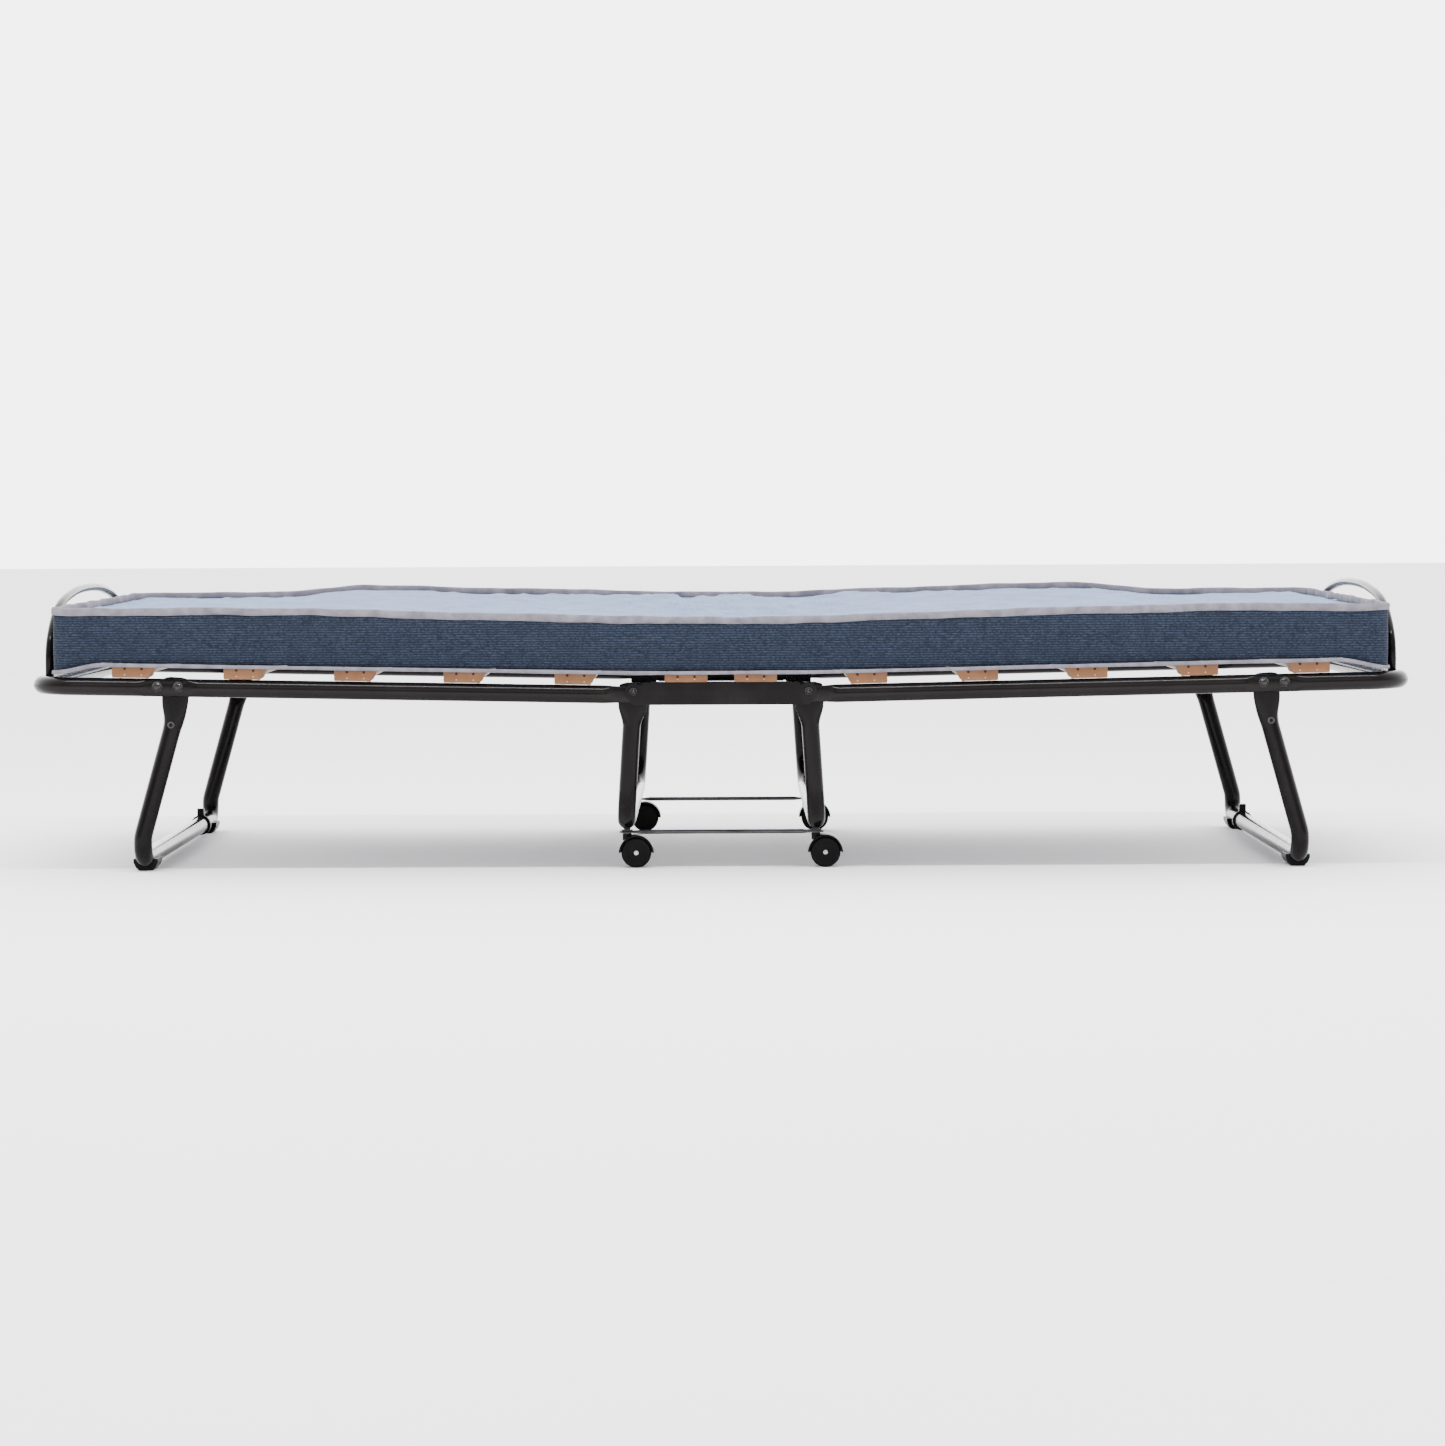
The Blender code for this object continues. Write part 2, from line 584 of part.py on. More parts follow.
def add_half(label, angle):
    """One half frame on its hinge, and the end leg that folds under it."""
    sign = math.cos(math.radians(angle))
    turn = Matrix.Rotation(math.radians(angle), 4, "Z")
    rise = Matrix.Rotation(-RAIL_RISE, 4, "Y")
    at_hinge = Matrix.Translation((sign * PIVOT_X, 0, PIVOT_Z)) @ turn @ rise
    hinge = add_empty(f"{label}_fold_axis", at_hinge)
    rail = add_part(f"rail_{label}", rail_mesh(), "black_paint", hinge)
    stop_x = END_LEG_ALONG + STOP_OFFSET
    holes = [pin_hole(0.0, 0.0)]
    holes += [pin_hole(x, -LEG_PIVOT_DROP) for x in (END_LEG_ALONG, stop_x)]
    boolean(rail, holes, "DIFFERENCE", hinge)

    numbers = range(5, 0, -1) if label == "left" else range(8, 13)
    for number, world_x in zip(numbers, FRAME_SLATS_X):
        slat, holders, pegs = slat_meshes(HOLDER_LOW, HOLDER_HIGH, RAIL_TOP + GAP)
        at_slat = Matrix.Translation(((world_x - PIVOT_X) / math.cos(RAIL_RISE), 0, 0))
        obj = add_part(f"slat_{number:02d}", slat, "tan_plastic", hinge, at_slat)
        boolean(obj, [join_all(holders), join_all(pegs)], "UNION", hinge, at_slat)

    bow_x = RAIL_END - BOW_SETBACK
    half_bow = [(bow_x, -BOW_FOOT_Y, RAIL_TOP + GAP), (bow_x, -BOW_BEND_Y, BOW_BEND_Z),
                (bow_x, -BOW_SHOULDER_Y, BOW_SHOULDER_Z), (bow_x, -BOW_ARCH_Y, BOW_ARCH_Z)]
    points = half_bow + [(bow_x, 0, BOW_TOP_Z)] + [(x, -y, z) for x, y, z in reversed(half_bow)]
    tube_part(f"bow_{label}", points, BOW_R, "black_paint", hinge)

    low = MATTRESS_Z
    high = MATTRESS_Z + MATTRESS_T
    end_x = MATTRESS_END_X - PIVOT_X
    slope = [(low + MATTRESS_HINGE_GAP, low), (end_x, low), (end_x, high),
             (high + MATTRESS_HINGE_GAP, high)]
    add_part(f"mattress_{label}", slab_mesh([slope], MATTRESS_HALF_W), "denim", hinge)

    for end, side in (("front", -sign), ("rear", sign)):
        outside = side * (RAIL_Y + DIMPLE_HALF_T)
        leg_face = side * (END_LEG_Y + LEG_R - 2 * FLAT_HALF)
        rivet(f"leg_pivot_{label}_{end}", leg_face, outside, hinge, (END_LEG_ALONG, -LEG_PIVOT_DROP))
        rivet(f"leg_stop_{label}_{end}", leg_face + side * 0.001, outside, hinge, (stop_x, -LEG_PIVOT_DROP))

    at_leg = Matrix.Translation((END_LEG_ALONG, 0, -LEG_PIVOT_DROP)) @ rise.inverted()
    leg_axis = add_empty(f"{label}_leg_axis", at_leg, hinge)
    leg_mesh = u_leg_mesh(END_SIDE, END_RADII, END_BAR, END_HEAD, END_LEG_Y)
    leg = add_part(f"end_leg_{label}", leg_mesh, "black_paint", leg_axis)
    stop = rise.inverted() @ Vector((STOP_OFFSET, 0, 0))
    notch = cylinder_mesh(HEAD_R + 0.0008, (stop.x, -WIDTH, stop.z), (stop.x, WIDTH, stop.z))
    boolean(leg, [pin_hole(0.0, 0.0), notch], "DIFFERENCE", leg_axis)

    grown = u_leg_mesh(END_SIDE, END_RADII, END_BAR, END_HEAD, END_LEG_Y, GAP)
    for end, side in (("front", -sign), ("rear", sign)):
        at_foot = Matrix.Translation((0, side * FOOT_Y, 0))
        foot_mesh = slab_mesh([foot_outline()], FOOT_HALF_L)
        foot = add_part(f"foot_{label}_{end}", foot_mesh, "black_plastic", leg_axis, at_foot)
        boolean(foot, [grown], "DIFFERENCE", leg_axis)

    bar_x, bar_z = END_BAR
    tab_z = bar_z + CLIP_R + CLIP_TAB
    outer = arc_points(END_BAR, CLIP_R, 70, -250, 16)
    tab = [(bar_x - CLIP_TAB_HALF, tab_z), (bar_x + CLIP_TAB_HALF, tab_z)]
    inner = arc_points(END_BAR, LEG_R + GAP, 0, 337.5, 15)
    clip = slab_mesh([outer + tab, inner], CLIP_HALF_W)
    at_clip = Matrix.Translation((0, sign * CLIP_Y, 0))
    add_part(f"bar_clip_{label}", clip, "black_plastic", leg_axis, at_clip)


def add_caster(label, x, y):
    """A hooded twin-wheel caster: the hood swivels on its stem, and the wheels turn on their axle."""
    swivel = add_empty(f"caster_{label}_swivel_axis", Matrix.Translation((x, y, 0)))
    axle = add_empty(f"caster_{label}_axle_axis", Matrix.Translation((CASTER_TRAIL, 0, WHEEL_R)), swivel)
    outline = arc_points((0, 0), HOOD_R, 0, 180, 14) + arc_points((0, 0), HUB_R, 180, 360, 6)
    hood = add_part(f"caster_hood_{label}", slab_mesh([outline], HOOD_HALF_W), "black_plastic", axle)
    boss = cylinder_mesh(BOSS_R, (0, 0, BOSS_LOW_Z), (0, 0, BOSS_TOP_Z), 14)
    stem = cylinder_mesh(STEM_R, (0, 0, BOSS_TOP_Z - 0.003), (0, 0, STEM_TOP_Z), 12)
    boolean(hood, [boss, stem], "UNION", swivel)
    room = [cylinder_mesh(WHEEL_R + WHEEL_CLEARANCE, (0, side * WEB_HALF_T, 0), (0, side * 0.03, 0), 20)
            for side in (-1, 1)]
    room.append(cylinder_mesh(AXLE_R + PIN_CLEARANCE, (0, -0.01, 0), (0, 0.01, 0), 12))
    boolean(hood, room, "DIFFERENCE", axle)

    cap = [(0.0, WHEEL_OUT_Y + 0.0008), (0.0034, WHEEL_OUT_Y + 0.0005), (0.0042, WHEEL_OUT_Y - 0.0014)]
    disc = [(0.0165, WHEEL_OUT_Y - 0.0012), (0.0185, WHEEL_OUT_Y)]
    tread = [(WHEEL_R, WHEEL_OUT_Y - 0.0022), (WHEEL_R, WHEEL_IN_Y + 0.001), (WHEEL_R - 0.001, WHEEL_IN_Y)]
    outer = cap + disc + tread + [(AXLE_R, WHEEL_IN_Y)]
    profile = outer + [(radius, -height) for radius, height in reversed(outer)]
    turned_part(f"caster_wheels_{label}", profile, "black_plastic", 16, axle,
                Matrix.Rotation(math.radians(90), 4, "X"))


add_centre()
add_half("left", 180)
add_half("right", 0)
for side_name, stem_x in (("left", -STEM_X), ("right", STEM_X)):
    for end_name, stem_y in (("front", -CASTER_Y), ("rear", CASTER_Y)):
        add_caster(f"{side_name}_{end_name}", stem_x, stem_y)
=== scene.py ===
"""Looks for the folding cot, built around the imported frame. Metres, +Z up, +X along the bed."""
import math

import bmesh
import bpy
from mathutils import Matrix, Vector, noise


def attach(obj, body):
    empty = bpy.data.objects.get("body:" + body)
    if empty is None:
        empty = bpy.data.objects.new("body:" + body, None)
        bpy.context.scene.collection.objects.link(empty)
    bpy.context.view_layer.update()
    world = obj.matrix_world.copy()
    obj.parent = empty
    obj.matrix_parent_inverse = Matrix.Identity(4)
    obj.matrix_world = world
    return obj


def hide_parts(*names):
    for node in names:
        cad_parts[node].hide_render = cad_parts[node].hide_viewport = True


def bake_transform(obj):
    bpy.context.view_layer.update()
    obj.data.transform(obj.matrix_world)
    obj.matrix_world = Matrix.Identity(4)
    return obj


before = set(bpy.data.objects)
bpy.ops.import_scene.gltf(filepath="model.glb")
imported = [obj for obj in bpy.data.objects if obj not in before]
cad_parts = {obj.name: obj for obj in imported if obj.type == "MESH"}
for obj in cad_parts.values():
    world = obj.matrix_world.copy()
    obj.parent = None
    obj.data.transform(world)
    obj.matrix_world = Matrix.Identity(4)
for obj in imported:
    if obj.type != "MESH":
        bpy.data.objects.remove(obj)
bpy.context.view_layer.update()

# ---- the frame's own dimensions, as in the part ----
LENGTH = 1.915
WIDTH = 0.800
RAIL_R = 0.0125
RAIL_CORNER = 0.050
RAIL_DROP = 0.0045
LEG_PIVOT_DROP = 0.0025
RAIL_RISE = math.radians(1.12)
RAIL_END_HALF = 0.0115
RAIL_TIP = -0.0108
RAIL_TIP_EASE = 0.0048
RAIL_FLAT_TO = 0.022
RAIL_ROUND_FROM = 0.042
FLAT_HALF = 0.0025
DIMPLE_HALF_T = 0.0075
DIMPLE_EASE = 0.018
PIVOT_X = 0.121
PIVOT_Z = 0.250
PLATE_ABOVE = 0.0125
LEG_R = 0.0125
HEAD_TOP_Z = 0.012
HEAD_SHOULDER = 0.006
MID_LEG_HEAD_X = -0.0008
MID_LEG_HEAD_HALF = 0.020
MID_LEG_FLAT_TO = -0.018
MID_LEG_ROUND_FROM = -0.050
MID_LEG_BEND_R = 0.050
MID_LEG_SPLAY = 0.0115
MID_BAR_Z = 0.067
END_LEG_HEAD_X = 0.005
END_LEG_HEAD_HALF = 0.0185
END_LEG_FLAT_TO = -0.016
END_LEG_ROUND_FROM = -0.064
END_LEG_KNEE = (0.0095, -0.045)
END_LEG_BEND_RADII = [0.10, 0.05, 0.024]
END_BEND_ABOVE_BAR = 0.0315
END_LEG_Y = 0.361
END_LEG_X = 0.749
END_LEG_FOOT_X = 0.805
END_BAR_Z = 0.0175
STOP_OFFSET = 0.029
GAP = 0.0003
HOLDER_L = 0.059
HOLDER_HIGH = 0.0267
CENTRE_HOLDER_H = 0.0132
HOLDER_LIP = 0.0026
HOLDER_IN_Y = 0.357
HOLDER_OUT_Y = 0.3965
SLAT_W = 0.053
SLAT_T = 0.008
SLAT_HALF_L = 0.372
PEG_R = 0.003
SHANK_R = 0.003
PEG_SPACING = 0.036
FRAME_SLATS_X = (0.2005, 0.3535, 0.5045, 0.657, 0.811)
CENTRE_SLAT_X = 0.048
BOW_R = 0.006
BOW_SETBACK = 0.008
WHEEL_R = 0.021
WHEEL_OUT_Y = 0.0155
WHEEL_IN_Y = 0.003
HOOD_R = 0.0245
HOOD_HALF_W = 0.016
CASTER_TRAIL = 0.013
CASTER_Y = 0.315
STEM_X = PIVOT_X + MID_LEG_SPLAY

# ---- where the looks differ a little from the part ----
HOLDER_LOW = 0.0087
DIMPLE_MARGIN = 0.010
BOW_FOOT_SINK = 0.004

# ---- worked out from these ----
RAIL_Y = WIDTH / 2 - RAIL_R
RAIL_TOP = RAIL_R - RAIL_DROP
RAIL_END = (LENGTH / 2 - RAIL_R - PIVOT_X) / math.cos(RAIL_RISE)
END_LEG_ALONG = (END_LEG_X - PIVOT_X) / math.cos(RAIL_RISE)
END_LEG_Z = PIVOT_Z + END_LEG_ALONG * math.sin(RAIL_RISE) - LEG_PIVOT_DROP * math.cos(RAIL_RISE)
MID_LEG_HEAD_Y = RAIL_Y - 2 * FLAT_HALF - GAP
MID_LEG_Y = MID_LEG_HEAD_Y + FLAT_HALF - LEG_R

SIDES = {"left": -1, "right": 1}
ENDS = {"front": -1, "rear": 1}


# ---- materials ----

def new_material(name, colour, roughness, metallic=0.0, coat=0.0, specular=0.5):
    """A Principled material with its constant values on the shader's own sockets."""
    material = bpy.data.materials.new(name)
    material.use_nodes = True
    shader = material.node_tree.nodes["Principled BSDF"]
    shader.inputs["Base Color"].default_value = (*colour, 1.0)
    shader.inputs["Roughness"].default_value = roughness
    shader.inputs["Metallic"].default_value = metallic
    shader.inputs["Specular IOR Level"].default_value = specular
    shader.inputs["Coat Weight"].default_value = coat
    shader.inputs["Coat Roughness"].default_value = 0.12
    return material


class Nodes:
    """Short calls that add texture nodes to one material."""

    def __init__(self, material, rest=False):
        self.tree = material.node_tree
        self.shader = self.tree.nodes["Principled BSDF"]
        if rest:
            source = self.tree.nodes.new("ShaderNodeAttribute")
            source.attribute_name = "rest"
            self.place = source.outputs["Vector"]
        else:
            source = self.tree.nodes.new("ShaderNodeTexCoord")
            self.place = source.outputs["Object"]

    def link(self, out, into):
        """Join two sockets."""
        self.tree.links.new(out, into)

    def scaled(self, scale):
        """The position, stretched by a scale for each axis."""
        node = self.tree.nodes.new("ShaderNodeMapping")
        node.inputs["Scale"].default_value = scale
        self.link(self.place, node.inputs["Vector"])
        return node.outputs["Vector"]

    def noise(self, scale, detail=2.0, place=None, distortion=0.0):
        """A noise value."""
        node = self.tree.nodes.new("ShaderNodeTexNoise")
        node.inputs["Scale"].default_value = scale
        node.inputs["Detail"].default_value = detail
        node.inputs["Distortion"].default_value = distortion
        self.link(place or self.place, node.inputs["Vector"])
        return node.outputs["Fac"]

    def wave(self, scale, direction, distortion=0.0, place=None):
        """A value that runs up and down in bands along one axis."""
        node = self.tree.nodes.new("ShaderNodeTexWave")
        node.wave_type = "BANDS"
        node.bands_direction = direction
        node.inputs["Scale"].default_value = scale
        node.inputs["Distortion"].default_value = distortion
        node.inputs["Detail"].default_value = 1.0
        self.link(place or self.place, node.inputs["Vector"])
        return node.outputs["Fac"]

    def spread(self, value, low, high, out_low=0.0, out_high=1.0):
        """A value moved from one range to another, held inside it."""
        node = self.tree.nodes.new("ShaderNodeMapRange")
        node.inputs["From Min"].default_value = low
        node.inputs["From Max"].default_value = high
        node.inputs["To Min"].default_value = out_low
        node.inputs["To Max"].default_value = out_high
        self.link(value, node.inputs["Value"])
        return node.outputs["Result"]

    def maths(self, operation, first, second):
        """Two values, or a value and a number, put together."""
        node = self.tree.nodes.new("ShaderNodeMath")
        node.operation = operation
        self.link(first, node.inputs[0])
        if isinstance(second, float):
            node.inputs[1].default_value = second
        else:
            self.link(second, node.inputs[1])
        return node.outputs["Value"]

    def mix(self, share, first, second):
        """A colour between two, each a colour or a socket."""
        node = self.tree.nodes.new("ShaderNodeMix")
        node.data_type = "RGBA"
        self.link(share, node.inputs["Factor"])
        for index, colour in ((6, first), (7, second)):
            if isinstance(colour, tuple):
                node.inputs[index].default_value = (*colour, 1.0)
            else:
                self.link(colour, node.inputs[index])
        return node.outputs[2]

    def colour(self, socket):
        """Give the shader its colour."""
        self.link(socket, self.shader.inputs["Base Color"])

    def roughness(self, socket):
        """Give the shader its roughness."""
        self.link(socket, self.shader.inputs["Roughness"])

    def bump(self, height, distance, strength=1.0, over=None):
        """Give the shader a relief, in metres, on top of another one."""
        node = self.tree.nodes.new("ShaderNodeBump")
        node.inputs["Distance"].default_value = distance
        node.inputs["Strength"].default_value = strength
        self.link(height, node.inputs["Height"])
        if over:
            self.link(over, node.inputs["Normal"])
        self.link(node.outputs["Normal"], self.shader.inputs["Normal"])
        return node.outputs["Normal"]


def paint(name, colour, roughness, coat):
    """Powder coat: a slight orange peel, uneven gloss and a little dust."""
    material = new_material(name, colour, roughness, coat=coat, specular=0.07)
    nodes = Nodes(material)
    patches = nodes.noise(14.0, 3.0)
    lighter = tuple(value * 1.6 + 0.001 for value in colour)
    nodes.colour(nodes.mix(nodes.spread(patches, 0.45, 0.75), colour, lighter))
    nodes.roughness(nodes.spread(nodes.noise(60.0, 3.0), 0.3, 0.7, roughness * 0.8, roughness * 1.3))
    nodes.bump(nodes.noise(400.0, 1.0), 0.00001, 0.6)
    return material


def zinc(name, lightness=1.0):
    """Bright zinc plate with fine marks along the wire."""
    dark = tuple(lightness * value for value in (0.030, 0.030, 0.034))
    light = tuple(lightness * value for value in (0.090, 0.090, 0.096))
    material = new_material(name, dark, 0.28, metallic=1.0)
    nodes = Nodes(material)
    streaks = nodes.noise(300.0, 3.0, nodes.scaled((0.06, 1.0, 1.0)))
    nodes.colour(nodes.mix(nodes.spread(streaks, 0.3, 0.7), dark, light))
    nodes.roughness(nodes.spread(nodes.noise(90.0, 2.0), 0.3, 0.7, 0.34, 0.52))
    nodes.bump(streaks, 0.00005, 0.5)
    return material


def plastic(name, colour, roughness, grain=900.0):
    """Moulded plastic with a fine grain and faint flow marks."""
    material = new_material(name, colour, roughness, specular=0.08)
    nodes = Nodes(material)
    light = tuple(min(1.0, value * 1.25 + 0.0005) for value in colour)
    nodes.colour(nodes.mix(nodes.spread(nodes.noise(35.0, 3.0), 0.35, 0.7), colour, light))
    nodes.roughness(nodes.spread(nodes.noise(120.0, 2.0), 0.3, 0.7, roughness * 0.85, roughness * 1.2))
    nodes.bump(nodes.noise(grain, 1.0), 0.00003, 0.6)
    return material


def wood(name):
    """Lacquered beech: long grain along the slat with short dark flecks."""
    material = new_material(name, (0.23, 0.14, 0.07), 0.45, coat=0.15)
    nodes = Nodes(material)
    grain = nodes.noise(60.0, 4.0, nodes.scaled((1.0, 0.06, 1.0)), 0.6)
    flecks = nodes.noise(600.0, 2.0, nodes.scaled((1.0, 0.10, 1.0)))
    base = nodes.mix(nodes.spread(grain, 0.3, 0.7), (0.185, 0.100, 0.048), (0.28, 0.175, 0.095))
    nodes.colour(nodes.mix(nodes.spread(flecks, 0.62, 0.72), base, (0.18, 0.10, 0.055)))
    nodes.bump(flecks, 0.00008, 0.6)
    return material


RIB_PERIOD = 0.0034
TWILL_PERIOD = 0.0018


def bands(period):
    """The wave node's scale for a band every so many metres."""
    return math.pi / 10 / period


def border_fabric(name):
    """Blue knit with fine ribs along the mattress, heathered with light flecks; painted shade darkens the
    grooves between the ribs.
    """
    material = new_material(name, (0.030, 0.040, 0.060), 0.95, specular=0.1)
    nodes = Nodes(material, rest=True)
    ribs = nodes.wave(bands(RIB_PERIOD), "Z", 0.6)
    flecks = nodes.noise(520.0, 2.0, nodes.scaled((0.6, 0.6, 1.0)))
    clouds = nodes.noise(45.0, 4.0)
    yarn = nodes.noise(1400.0, 1.0)
    strong = nodes.maths("MULTIPLY", flecks, 0.95)
    weak = nodes.maths("MULTIPLY", clouds, 0.2)
    heather = nodes.maths("ADD", strong, weak)
    base = nodes.mix(nodes.spread(heather, 0.44, 0.76), (0.0110, 0.0150, 0.0255), (0.0330, 0.0430, 0.0690))
    # painted shade: the grooves between the ribs are mixed towards a darker blue
    painted_rib_shade = nodes.spread(ribs, 0.0, 0.45, 0.0, 1.0)
    nodes.colour(nodes.mix(painted_rib_shade, (0.0080, 0.0105, 0.0180), base))
    low = nodes.bump(yarn, 0.0004, 0.5)
    nodes.bump(ribs, 0.0006, 0.7, low)
    return material


def painted_lit_top_fabric(name):
    """The border's navy knit painted pale blue for the top panel, as painted light standing for the overhead
    lamp and sheen, with soft folds across the mattress.
    """
    material = new_material(name, (0.20, 0.25, 0.36), 0.95, specular=0.1)
    nodes = Nodes(material, rest=True)
    ribs = nodes.wave(bands(RIB_PERIOD), "Y", 0.8)
    flecks = nodes.noise(420.0, 2.0)
    clouds = nodes.noise(22.0, 4.0)
    # painted light: these pale blues stand for overhead light and sheen on the navy fabric
    base = nodes.mix(nodes.spread(clouds, 0.35, 0.7), (0.130, 0.176, 0.280), (0.170, 0.220, 0.328))
    nodes.colour(nodes.mix(nodes.spread(flecks, 0.52, 0.75), base, (0.26, 0.32, 0.44)))
    folds = nodes.bump(nodes.noise(26.0, 2.0, nodes.scaled((1.0, 0.35, 1.0)), 0.6), 0.012, 0.6)
    low = nodes.bump(nodes.noise(1100.0, 1.0), 0.00015, 0.5, folds)
    nodes.bump(ribs, 0.00030, 0.6, low)
    return material


def piping_fabric(name):
    """Grey bias binding with a fine diagonal twill."""
    material = new_material(name, (0.16, 0.15, 0.18), 0.9, specular=0.1)
    nodes = Nodes(material, rest=True)
    twill = nodes.wave(bands(TWILL_PERIOD), "DIAGONAL", 0.5)
    clouds = nodes.noise(60.0, 3.0)
    nodes.colour(nodes.mix(nodes.spread(clouds, 0.3, 0.7), (0.125, 0.118, 0.142), (0.200, 0.190, 0.220)))
    nodes.bump(twill, 0.0003, 0.5)
    return material


TUBE_PAINT = paint("rail_paint", (0.0042, 0.0030, 0.0032), 0.20, 0.12)
LEG_PAINT = paint("leg_paint", (0.0030, 0.0022, 0.0023), 0.16, 0.05)
PLATE_PAINT = paint("plate_paint", (0.0070, 0.0060, 0.0062), 0.42, 0.0)
RIVET_PAINT = paint("rivet_paint", (0.0060, 0.0050, 0.0052), 0.18, 0.5)
RIM_PAINT = paint("rim_paint", (0.030, 0.028, 0.030), 0.20, 0.5)
ZINC = zinc("zinc_plate")
CAP_METAL = zinc("cap_metal", 8.0)
HOLDER_PLASTIC = plastic("holder_plastic", (0.165, 0.080, 0.042), 0.55)
# painted shade: the dark discs that stand for blind holes in the holders
HOLDER_HOLE_SHADE = plastic("holder_hole_painted_shade", (0.030, 0.014, 0.010), 0.8)
# painted light: the light dots that stand for the surround seen through gaps
HOLDER_GAP_LIGHT = plastic("holder_mark_painted_light", (0.40, 0.33, 0.28), 0.5)
BLACK_PLASTIC = plastic("black_plastic", (0.0030, 0.0030, 0.0033), 0.34)
WHEEL_PLASTIC = plastic("wheel_plastic", (0.0025, 0.0025, 0.0028), 0.42)
WOOD = wood("beech")
BORDER = border_fabric("border_knit")
# the top panel's pale colour is painted light on the border's navy fabric
TOP_PAINTED_LIT = painted_lit_top_fabric("top_knit_painted_lit")
PIPING = piping_fabric("binding")


# ---- shapes, as in the part but finer ----

def finish_mesh(bm, name, smooth_angle=35.0):
    """Turn a bmesh into a smooth-shaded mesh with its faces pointing out."""
    bmesh.ops.recalc_face_normals(bm, faces=bm.faces)
    mesh = bpy.data.meshes.new(name)
    bm.to_mesh(mesh)
    bm.free()
    mesh.shade_smooth()
    mesh.set_sharp_from_angle(angle=math.radians(smooth_angle))
    return mesh


def add_piece(name, mesh, materials, matrix=None):
    """Link a mesh as one named piece, its place written into its points."""
    obj = bpy.data.objects.new(name, mesh.copy())
    bpy.context.scene.collection.objects.link(obj)
    if matrix:
        obj.data.transform(matrix)
    for material in materials:
        obj.data.materials.append(material)
    return obj


def place_piece(obj, body, slot, *nodes):
    """Make a piece ride on a body and hide the nodes it stands for; the slot is not used."""
    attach(obj, body)
    if nodes:
        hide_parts(*nodes)
    return obj


def arc_points(centre, radius, start_deg, end_deg, count):
    """Points along an arc in a plane, both ends included."""
    points = []
    for step in range(count + 1):
        angle = math.radians(start_deg + (end_deg - start_deg) * step / count)
        points.append((centre[0] + radius * math.cos(angle), centre[1] + radius * math.sin(angle)))
    return points


def rounded_path(points, radii, steps=5):
    """A polyline with each inner corner replaced by an arc of its own radius."""
    path = [Vector(points[0])]
    for index in range(1, len(points) - 1):
        corner = Vector(points[index])
        before = (Vector(points[index - 1]) - corner).normalized()
        after = (Vector(points[index + 1]) - corner).normalized()
        half = before.angle(after) / 2
        cut = radii[index - 1] / math.tan(half)
        centre = corner + (before + after).normalized() * radii[index - 1] / math.sin(half)
        first = corner + before * cut - centre
        last = corner + after * cut - centre
        sweep = first.angle(last)
        axis = first.cross(last).normalized()
        for step in range(steps + 1):
            path.append(centre + Matrix.Rotation(sweep * step / steps, 3, axis) @ first)
    path.append(Vector(points[-1]))
    return path


def loft_mesh(path, sizes, side, sides=32):
    """A bar along a path whose section changes from flat to round, as half width, half
    thickness, squareness and sideways offset at each point."""
    bm = bmesh.new()
    rings = []
    thick = Vector(side)
    for index, centre in enumerate(path):
        ahead = path[min(index + 1, len(path) - 1)] - path[max(index - 1, 0)]
        ahead.normalize()
        thick = (thick - ahead * thick.dot(ahead)).normalized()
        wide = ahead.cross(thick)
        half_w, half_t, square, offset = sizes[index]
        ring = []
        for corner in range(sides):
            angle = 2 * math.pi * (corner + 0.5) / sides
            along_w = math.copysign(abs(math.cos(angle)) ** (2 / square), math.cos(angle))
            along_t = math.copysign(abs(math.sin(angle)) ** (2 / square), math.sin(angle))
            spot = centre + wide * half_w * along_w + thick * (half_t * along_t + offset)
            ring.append(bm.verts.new(spot))
        rings.append(ring)
    for low, high in zip(rings, rings[1:]):
        for corner in range(sides):
            following = (corner + 1) % sides
            bm.faces.new((low[corner], low[following], high[following], high[corner]))
    bm.faces.new(rings[0])
    bm.faces.new(rings[-1])
    return finish_mesh(bm, "loft", 50.0)


def turned_mesh(profile, steps=48):
    """A profile of radius and height, ends on the axis, spun about Z."""
    bm = bmesh.new()
    rings = []
    for radius, height in profile:
        if radius < 0.00001:
            rings.append([bm.verts.new((0, 0, height))])
            continue
        turns = [2 * math.pi * step / steps for step in range(steps)]
        rings.append([bm.verts.new((radius * math.cos(t), radius * math.sin(t), height)) for t in turns])
    for upper, lower in zip(rings, rings[1:]):
        for step in range(steps):
            following = (step + 1) % steps
            corners = [upper[step % len(upper)], upper[following % len(upper)],
                       lower[following % len(lower)], lower[step % len(lower)]]
            bm.faces.new(list(dict.fromkeys(corners)))
    return finish_mesh(bm, "turned", 40.0)


def slab_mesh(outline, half_thickness, bevel=0.0):
    """A flat outline in X and Z with a thickness along Y and, if asked, rounded rims."""
    bm = bmesh.new()
    face = bm.faces.new([bm.verts.new((x, -half_thickness, z)) for x, z in outline])
    grown = bmesh.ops.extrude_face_region(bm, geom=[face])
    moved = [item for item in grown["geom"] if isinstance(item, bmesh.types.BMVert)]
    bmesh.ops.translate(bm, verts=moved, vec=(0, 2 * half_thickness, 0))
    if bevel:
        rims = [edge for edge in bm.edges if abs(edge.verts[0].co.y - edge.verts[1].co.y) < 0.00001]
        bmesh.ops.bevel(bm, geom=rims, offset=bevel, segments=2, affect="EDGES", profile=0.5)
    return finish_mesh(bm, "slab")


